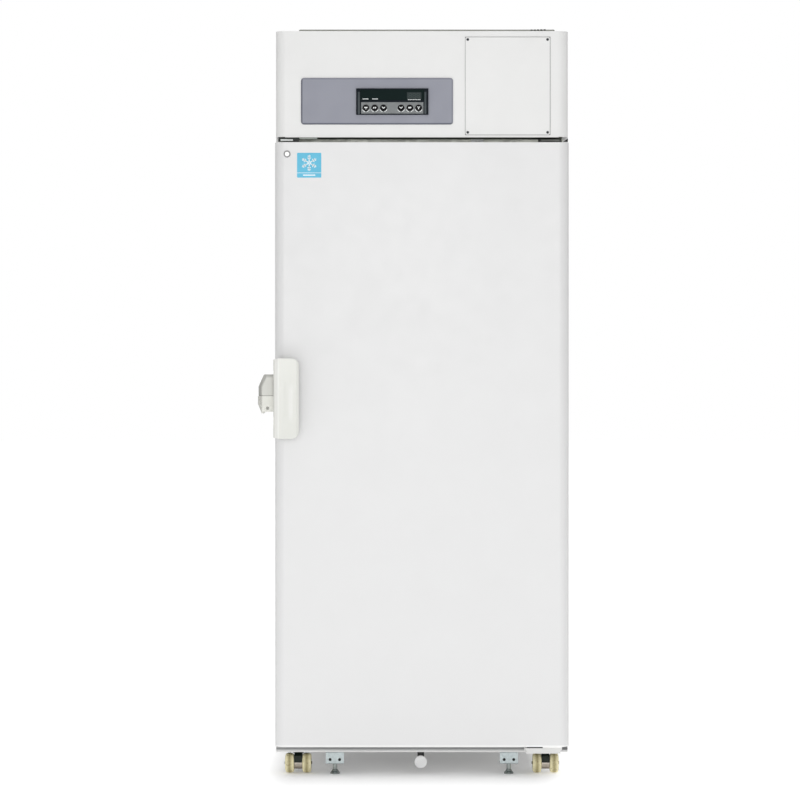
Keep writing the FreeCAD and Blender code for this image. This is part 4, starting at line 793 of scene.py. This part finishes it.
def makeDisplay():
    low = corners("display_window")[0]
    x0, x1, z0, z1 = display["panel"]
    z0, z1 = low.z + z0, low.z + z1
    glass = surface("segmentGlass", display["glass"], rough=0.3, tint=0.08, grain=0.02, specular=0.08)
    face = low.y - display["panelThick"]
    makePiece("segmentPanel", plates([roundedPlate(x0, z0, x1, z1, display["panelCorner"])], face,
                                     display["panelThick"]), glass)
    ghosts = []
    h, half = display["digitHalf"], display["levelHalf"]
    inner, outer = display["uprightEnds"]
    z = (z0 + z1) / 2
    for digit in range(display["digits"]):
        x = x0 + display["digitStart"] + digit * display["digitPitch"]
        for level in (-h, 0, h):
            ghosts.append(bar(x - half, z + level, x + half, z + level, display["segment"]))
        for side in (-display["uprightAside"], display["uprightAside"]):
            for start, end in ((inner, h - outer), (outer - h, -inner)):
                ghosts.append(bar(x + side, z + start, x + side, z + end, display["segment"]))
    makePiece("segmentShapes", plates(ghosts, low.y - 0.1, 0.04),
              surface("segmentGrey", display["ghost"], rough=0.4, tint=0.05, grain=0.02, specular=0.08))
    dashes = []
    for start in display["lampSigns"]:
        dashes += dashRow(start, low.z + display["lampUp"], display["lampDashes"])
    dashes += dashRow(x0 + display["printStart"], low.z + display["printUp"], display["printDashes"])
    makePiece("displayPrint", plates(dashes, low.y - 0.08, 0.08),
              surface("printWhite", display["print"], rough=0.5, tint=0.02, grain=0.05))
    face = corners("display_frame")[0].y
    foot, top = display["postEnds"]
    shapes = [block(start, foot, end, top) for start, end in display["posts"]]
    makePiece("modulePosts", plates(shapes, face - 0.5, 0.5),
              surface("postPlastic", display["post"], rough=0.5, tint=0.05, grain=0.25, grainScale=1500.0),
              soften=0.15)


# White sign on each key (bell, lamp pair, two chevrons, two dots, an arrow) and the light arcs beside it
keySigns = {"thick": 0.12, "white": srgb(240, 243, 243), "arcR": 9.1, "arcWide": 1.6, "arcs": (205.0, 285.0),
            "arcLong": 50.0}


def makeKeySigns():
    white = surface("keyPrint", keySigns["white"], rough=0.45, tint=0.02, grain=0.05)
    chevron = [((-3.8, 2.4), (0, -1.4), 1.9), ((3.8, 2.4), (0, -1.4), 1.9)]
    strokes = {1: [((-4.2, 1.0), (4.2, 1.0), 2.6)],
               2: [((-3.8, -1.6), (-1.2, 2.2), 2.2), ((0.6, -1.6), (3.4, 2.2), 2.2)],
               3: chevron, 4: chevron, 5: [((-2.0, -1.0), (2.0, -1.0), 1.4)],
               6: [((-3.4, 3.2), (0, 0.4), 1.7), ((3.4, 3.2), (0, 0.4), 1.7), ((0, 0.8), (0, -3.6), 1.9)]}
    dots = {1: [(0, -2.6, 1.3)], 5: [(-2.1, 0.6, 1.9), (2.1, 0.6, 1.9)]}
    inner, outer = keySigns["arcR"], keySigns["arcR"] + keySigns["arcWide"]
    arcs = []
    for number in range(1, 7):
        low, high = corners("key_" + str(number))
        x, z = (low.x + high.x) / 2, (low.z + high.z) / 2
        shapes = [bar(x + a[0], z + a[1], x + b[0], z + b[1], wide) for a, b, wide in strokes[number]]
        shapes += [disc(x + dx, z + dz, r) for dx, dz, r in dots.get(number, [])]
        makePiece("keySign" + str(number), plates(shapes, low.y - keySigns["thick"], keySigns["thick"]), white,
                  "key_body_" + str(number))
        for start in keySigns["arcs"]:
            turns = [radians(start + keySigns["arcLong"] * k / 8) for k in range(9)]
            arcs.append([(x + inner * cos(t), z + inner * sin(t)) for t in turns] +
                        [(x + outer * cos(t), z + outer * sin(t)) for t in reversed(turns)])
    face = corners("key_strip")[0].y
    makePiece("keyArcs", plates(arcs, face - keySigns["thick"], keySigns["thick"]), white)


# Fascia: dark sheet of painted shade and white lip under it, ring of painted shadow round the recorder cover, dark
# crosses of painted shade in the screws, grey strip of painted shade above
trim = {"sealFront": -401.0, "sealBack": -337.0, "sealHalf": 368.0, "sealThick": 0.8,
        "lip": (-404.6, -401.5), "lipHalf": 358.0, "lipHigh": 1.3,
        "deckGap": 0.05, "coverEdge": (1.0, 1.3, 1.1, 1.1), "coverLap": 4.0, "coverProud": 0.9,
        "screwInset": 6.0, "crossHalf": 2.2, "crossWide": 0.9,
        "field": (-327.0, 353.0), "fieldBack": 25.0, "stripHigh": 5.2, "stripDown": 7.5, "stripThick": 1.2,
        "stripEnd": 5.0, "clipSpan": (285.0, 328.0), "clips": 5, "clipWide": 5.6, "clipThick": 0.9,
        "clipLow": (5.6, 0.4), "clipHigh": (1.2, 0.2), "clipProud": 0.8,
        "seal": srgb(92, 94, 84), "cover": srgb(128, 129, 127), "cross": srgb(20, 20, 22),
        "strip": srgb(150, 152, 142), "dark": srgb(70, 70, 66)}


def makeFasciaTrim():
    # A dark sheet under the fascia is painted shade of its underside
    seal = surface("fasciaShadeSheet", trim["seal"], rough=0.9, tint=0.1, tintScale=60.0, grain=0.5,
                   grainScale=900.0)
    under = corners("machine_deck")[1].z - trim["deckGap"]
    shell = bmesh.new()
    half = trim["sealHalf"]
    addPrism(shell, block(-half, trim["sealFront"], half, trim["sealBack"]), "z",
             under - trim["sealThick"], trim["sealThick"])
    makePiece("fasciaUnderShade", shell, seal)

    shell = bmesh.new()
    start, end = trim["lip"]
    addPrism(shell, block(-trim["lipHalf"], start, trim["lipHalf"], end), "z",
             under - trim["lipHigh"], trim["lipHigh"])
    makePiece("fasciaLip", shell, bpy.data.materials["cabinetPaint"])

    # A ring of painted shadow round the recorder cover, a little wider at the right
    low, high = corners("recorder_cover")
    left, right, bottom, top = trim["coverEdge"]
    lap = trim["coverLap"]
    shell = bmesh.new()
    addFrame(shell, block(low.x - left, low.z - bottom, high.x + right, high.z + top),
             block(low.x + lap, low.z + lap, high.x - lap, high.z - lap), "y", high.y - trim["coverProud"],
             trim["coverProud"] - 0.05)
    makePiece("coverShadowRing", shell, surface("coverShadowLine", trim["cover"], rough=0.7, tint=0.08,
                                          tintScale=60.0, grain=0.3))

    # Dark crosses on the screws are painted shade for their recesses
    face = corners("panel_screws")[0].y
    inset, reach = trim["screwInset"], trim["crossHalf"]
    shapes = []
    for x in (low.x + inset, high.x - inset):
        for z in (low.z + inset, high.z - inset):
            shapes.append(bar(x - reach, z, x + reach, z, trim["crossWide"]))
            shapes.append(bar(x, z - reach, x, z + reach, trim["crossWide"]))
    makePiece("screwCrosses", plates(shapes, face - 0.05, 0.3),
              surface("screwRecessShade", trim["cross"], rough=0.6, tint=0.1, grain=0.2))

    # Grey strip of painted shade on the raised field's front, where its flange lies in shadow, with a dark clip near
    # its right end
    high = corners("top_cover")[1]
    front = corners("top_fascia")[0].y + trim["fieldBack"] - trim["stripThick"]
    left, right = trim["field"]
    end, low = trim["stripEnd"], high.z - trim["stripDown"]
    shell = bmesh.new()
    addPrism(shell, block(left + end, low, right - end, low + trim["stripHigh"]), "y", front,
             trim["stripThick"] + 3.0)
    makePiece("fieldShadeStrip", shell, surface("fieldFlangeShade", trim["strip"], rough=0.6, tint=0.06, grain=0.2),
              soften=0.3)
    clip = bmesh.new()
    start, stop = trim["clipSpan"]
    count, wide = trim["clips"], trim["clipWide"]
    lowDown, lowRise = trim["clipLow"]
    highDown, highRise = trim["clipHigh"]
    for k in range(count):
        x = start + (stop - start) * k / count
        addPrism(clip, block(x, high.z - lowDown + lowRise * k, x + wide, high.z - highDown + highRise * k), "y",
                 front - trim["clipProud"], trim["clipThick"])
    makePiece("fieldClip", clip, surface("clipRubber", trim["dark"], rough=0.6, tint=0.1, grain=0.3),
              soften=0.2)


# Gap above the door: white lip on the keeper as a painted highlight, its tail, white glints painted on the switch,
# and a dark wedge of painted shade at the upper hinge
keeper = {"lip": (-370.5, 1669.2, -338.0, 1673.4), "tail": (-321.0, 1673.6, -274.0, 1678.2),
          "wedge": ((371.0, 1667.5), (383.0, 1676.5), (383.0, 1667.5)), "thick": 1.2, "wedgeBack": 3.0,
          "wedgeThick": 6.0, "buttonProud": 1.5, "buttonThick": 1.6,
          "glints": ((132.0, 141.0), (144.5, 149.0), (153.0, 160.0)), "glintZ": (1671.4, 1674.2),
          "white": srgb(238, 242, 240), "grey": srgb(150, 156, 150), "dark": srgb(26, 28, 26)}


def makeKeeperPieces():
    face = corners("lock_keeper")[0].y
    white = surface("keeperNylon", keeper["white"], rough=0.4, tint=0.03, grain=0.1)
    # The white lip and the switch's white glints are painted highlights; the dark wedge is painted shade
    x0, z0, x1, z1 = keeper["lip"]
    makePiece("keeperLip", plates([roundedPlate(x0, z0, x1, z1, 1.2)], face - keeper["thick"], keeper["thick"]),
              white, soften=0.3)
    makePiece("keeperTail", plates([block(*keeper["tail"])], face, keeper["thick"]),
              surface("keeperTailZinc", keeper["grey"], rough=0.5, metal=0.4, tint=0.06, grain=0.2),
              soften=0.2)
    low = corners("door_switch")[0]
    glints = [block(start, keeper["glintZ"][0], end, keeper["glintZ"][1]) for start, end in keeper["glints"]]
    makePiece("switchGlints", plates(glints, low.y - keeper["buttonProud"], keeper["buttonThick"]), white,
              soften=0.3)
    shell = plates([list(keeper["wedge"])], corners("upper_hinge")[0].y + keeper["wedgeBack"],
                   keeper["wedgeThick"])
    makePiece("hingeShadeWedge", shell, surface("wedgePaintedShade", keeper["dark"], rough=0.7, tint=0.1, grain=0.3))


# Sill under the door: dark shim of painted shade and white washer of painted highlight on the lower hinge, dark grip
# at the right end, the pin's nut
sill = {"shim": (275.0, 316.0), "washer": (316.5, 366.0), "shimZ": (79.2, 82.4), "shimY": (-409.6, -400.0),
        "grip": (370.5, 383.0, 5), "gripZ": (65.5, 74.0), "gripWide": 1.3, "gripProud": 0.8, "gripThick": 0.9,
        "nut": (359.0, -383.0, 74.2),
        "nutR": 9.0, "nutHigh": 5.5, "shimDark": srgb(34, 35, 34), "washerWhite": srgb(244, 244, 242),
        "gripDark": srgb(92, 94, 94)}


def makeSill():
    # The dark shim is painted shade in the slit under the door; the white washer is a painted highlight for the hinge
    # plate's top
    for name, span, colour, slotName in (("hingeGapShade", sill["shim"], sill["shimDark"], "black_rubber"),
                                         ("hingeTopHighlight", sill["washer"], sill["washerWhite"], "frame_plastic")):
        shell = bmesh.new()
        addPrism(shell, block(span[0], sill["shimY"][0], span[1], sill["shimY"][1]), "z", sill["shimZ"][0],
                 sill["shimZ"][1] - sill["shimZ"][0])
        makePiece(name, shell, surface(name + "Nylon", colour, rough=0.6, tint=0.05, grain=0.2),
                  soften=0.4)
    start, end, count = sill["grip"]
    face = corners("breaker_frame")[0].y
    ribs = []
    for k in range(count):
        x = start + (end - start - sill["gripWide"]) * k / (count - 1)
        ribs.append(block(x, sill["gripZ"][0], x + sill["gripWide"], sill["gripZ"][1]))
    makePiece("sillGrip", plates(ribs, face - sill["gripProud"], sill["gripThick"]),
              surface("gripPlastic", sill["gripDark"], rough=0.6, tint=0.08, grain=0.3),
              soften=0.15)
    r, tall = sill["nutR"], sill["nutHigh"]
    shell = bmesh.new()
    addTurned(shell, sill["nut"], "z", [(0, 0), (r, 0), (r, -tall * 0.75), (r * 0.75, -tall), (0, -tall)], 6)
    makePiece("hingeNut", shell, spangled("nutZinc", paints["steel"], 300.0), soften=0.3)


# Strike: dark strip of painted shade in the seam between hood and tab, screws on the outside; cheeks at the lever's
# slots beside it
strike = {"seam": ((-389.5, -409.2), (-417.5, -409.2), (-427.0, -396.6), (-427.0, -313.0), (-416.5, -299.0),
                   (-388.0, -299.0), (-388.0, -331.0), (-389.5, -338.0)),
          "seamZ": (1000.64, 1001.56), "screws": ((-336.0, 1016.0), (-378.0, 1016.0)), "screwR": 4.2,
          "cheek": (-386.9, -443.6, -385.4, -437.1), "cheekLow": (920.05, 1040.05), "cheekHigh": 26.9,
          "dark": srgb(62, 62, 58)}


def makeStrikePieces():
    # A dark strip of painted shade fills the seam between hood and tab
    shell = bmesh.new()
    addPrism(shell, list(strike["seam"]), "z", strike["seamZ"][0], strike["seamZ"][1] - strike["seamZ"][0])
    makePiece("strikeSeam", shell, surface("seamPaintedShade", strike["dark"], rough=0.8, tint=0.1, grain=0.3))
    # Cheeks that close the lever's two slots at its outer edge
    shell = bmesh.new()
    x0, y0, x1, y1 = strike["cheek"]
    for z in strike["cheekLow"]:
        addPrism(shell, block(x0, y0, x1, y1), "z", z, strike["cheekHigh"])
    makePiece("leverCheeks", shell, bpy.data.materials["leverPlastic"], "lever")
    side = corners("strike_hood")[0].x
    shell = bmesh.new()
    for y, z in strike["screws"]:
        r = strike["screwR"]
        addTurned(shell, (side, y, z), "x", [(0, 0.1), (r, 0.1), (r, -0.4), (r * 0.7, -1.0), (0, -1.1)])
    makePiece("strikeScrews", shell, spangled("strikeScrewZinc", paints["steel"], 400.0, rough=0.34))


# Fasteners underneath, on the top and behind, and black plugs of painted shade in the foot brackets' holes
fasteners = {"casterBolt": (4.4, 3.0, 24.0), "boltSunk": 1.0, "trail": 16.0,
             "plug": (2.9, 12.5, 39.99), "plugHead": 3.9, "bracketX": 230.0, "screwR": 4.0, "screwHigh": 1.7,
             "rearRows": (90.0, 480.0, 870.0, 1260.0, 1650.0), "grilleRows": (1692.0, 1818.0, 1942.0),
             "rearX": (-375.0, 375.0), "topX": 367.0, "topY": (-300.0, -60.0, 180.0, 385.0),
             "dark": srgb(9, 10, 10)}


def makeFasteners():
    zinc = spangled("fastenerZinc", paints["steel"], 420.0, rough=0.34)
    shell = bmesh.new()
    r, tall, reach = fasteners["casterBolt"]
    under = corners("caster_plates")[0].z + fasteners["boltSunk"]
    head = [(0, 0.1), (r, 0.1), (r, -tall * 0.8), (r * 0.8, -tall), (0, -tall)]
    for corner in casterCorners:
        low, high = corners("caster_wheels_" + corner)
        x, y = (low.x + high.x) / 2, (low.y + high.y) / 2 + fasteners["trail"]
        for dx in (-reach, reach):
            for dy in (-reach, reach):
                addTurned(shell, (x + dx, y + dy, under), "z", head, 6)
    makePiece("casterBolts", shell, zinc)

    # Black plugs fill the brackets' holes as painted shade
    shell = bmesh.new()
    r, reach, z = fasteners["plug"]
    front, head = corners("foot_brackets")[0].y, fasteners["plugHead"]
    plug = [(0, -0.1), (head - 0.8, -0.1), (head, -0.6), (head, 0), (r, 0), (r, 3.1), (r + 1.6, 3.1),
            (r + 1.6, 4.2), (0, 4.2)]
    for side in (-1, 1):
        for hand in (-1, 1):
            addTurned(shell, (side * fasteners["bracketX"] + hand * reach, front, z), "y", plug)
    makePiece("bracketHoleShade", shell, surface("holeShadeBlack", fasteners["dark"], rough=0.7, tint=0.1, grain=0.3))

    shell = bmesh.new()
    r, tall = fasteners["screwR"], fasteners["screwHigh"]
    dome = [(0, -0.2), (r, -0.2), (r, tall * 0.3), (r * 0.8, tall * 0.8), (r * 0.35, tall), (0, tall)]
    back = corners("rear_grille")[1].y
    for x in fasteners["rearX"]:
        for z in fasteners["rearRows"] + fasteners["grilleRows"]:
            addTurned(shell, (x, back, z), "y", dome)
    top = corners("left_side_panel")[1].z
    for x in (-fasteners["topX"], fasteners["topX"]):
        for y in fasteners["topY"]:
            addTurned(shell, (x, y, top), "z", dome)
    makePiece("sheetScrews", shell, zinc)


makeCamera()
makeStudio()
print("studio and camera set")
dressCabinet()
dressControls()
dressHardware()
dressUnderside()
dressMachine()
print("finishes laid on")
makeSticker()
makeDisplay()
makeKeySigns()
makeFasciaTrim()
makeKeeperPieces()
makeSill()
makeStrikePieces()
makeFasteners()
print("small pieces made")
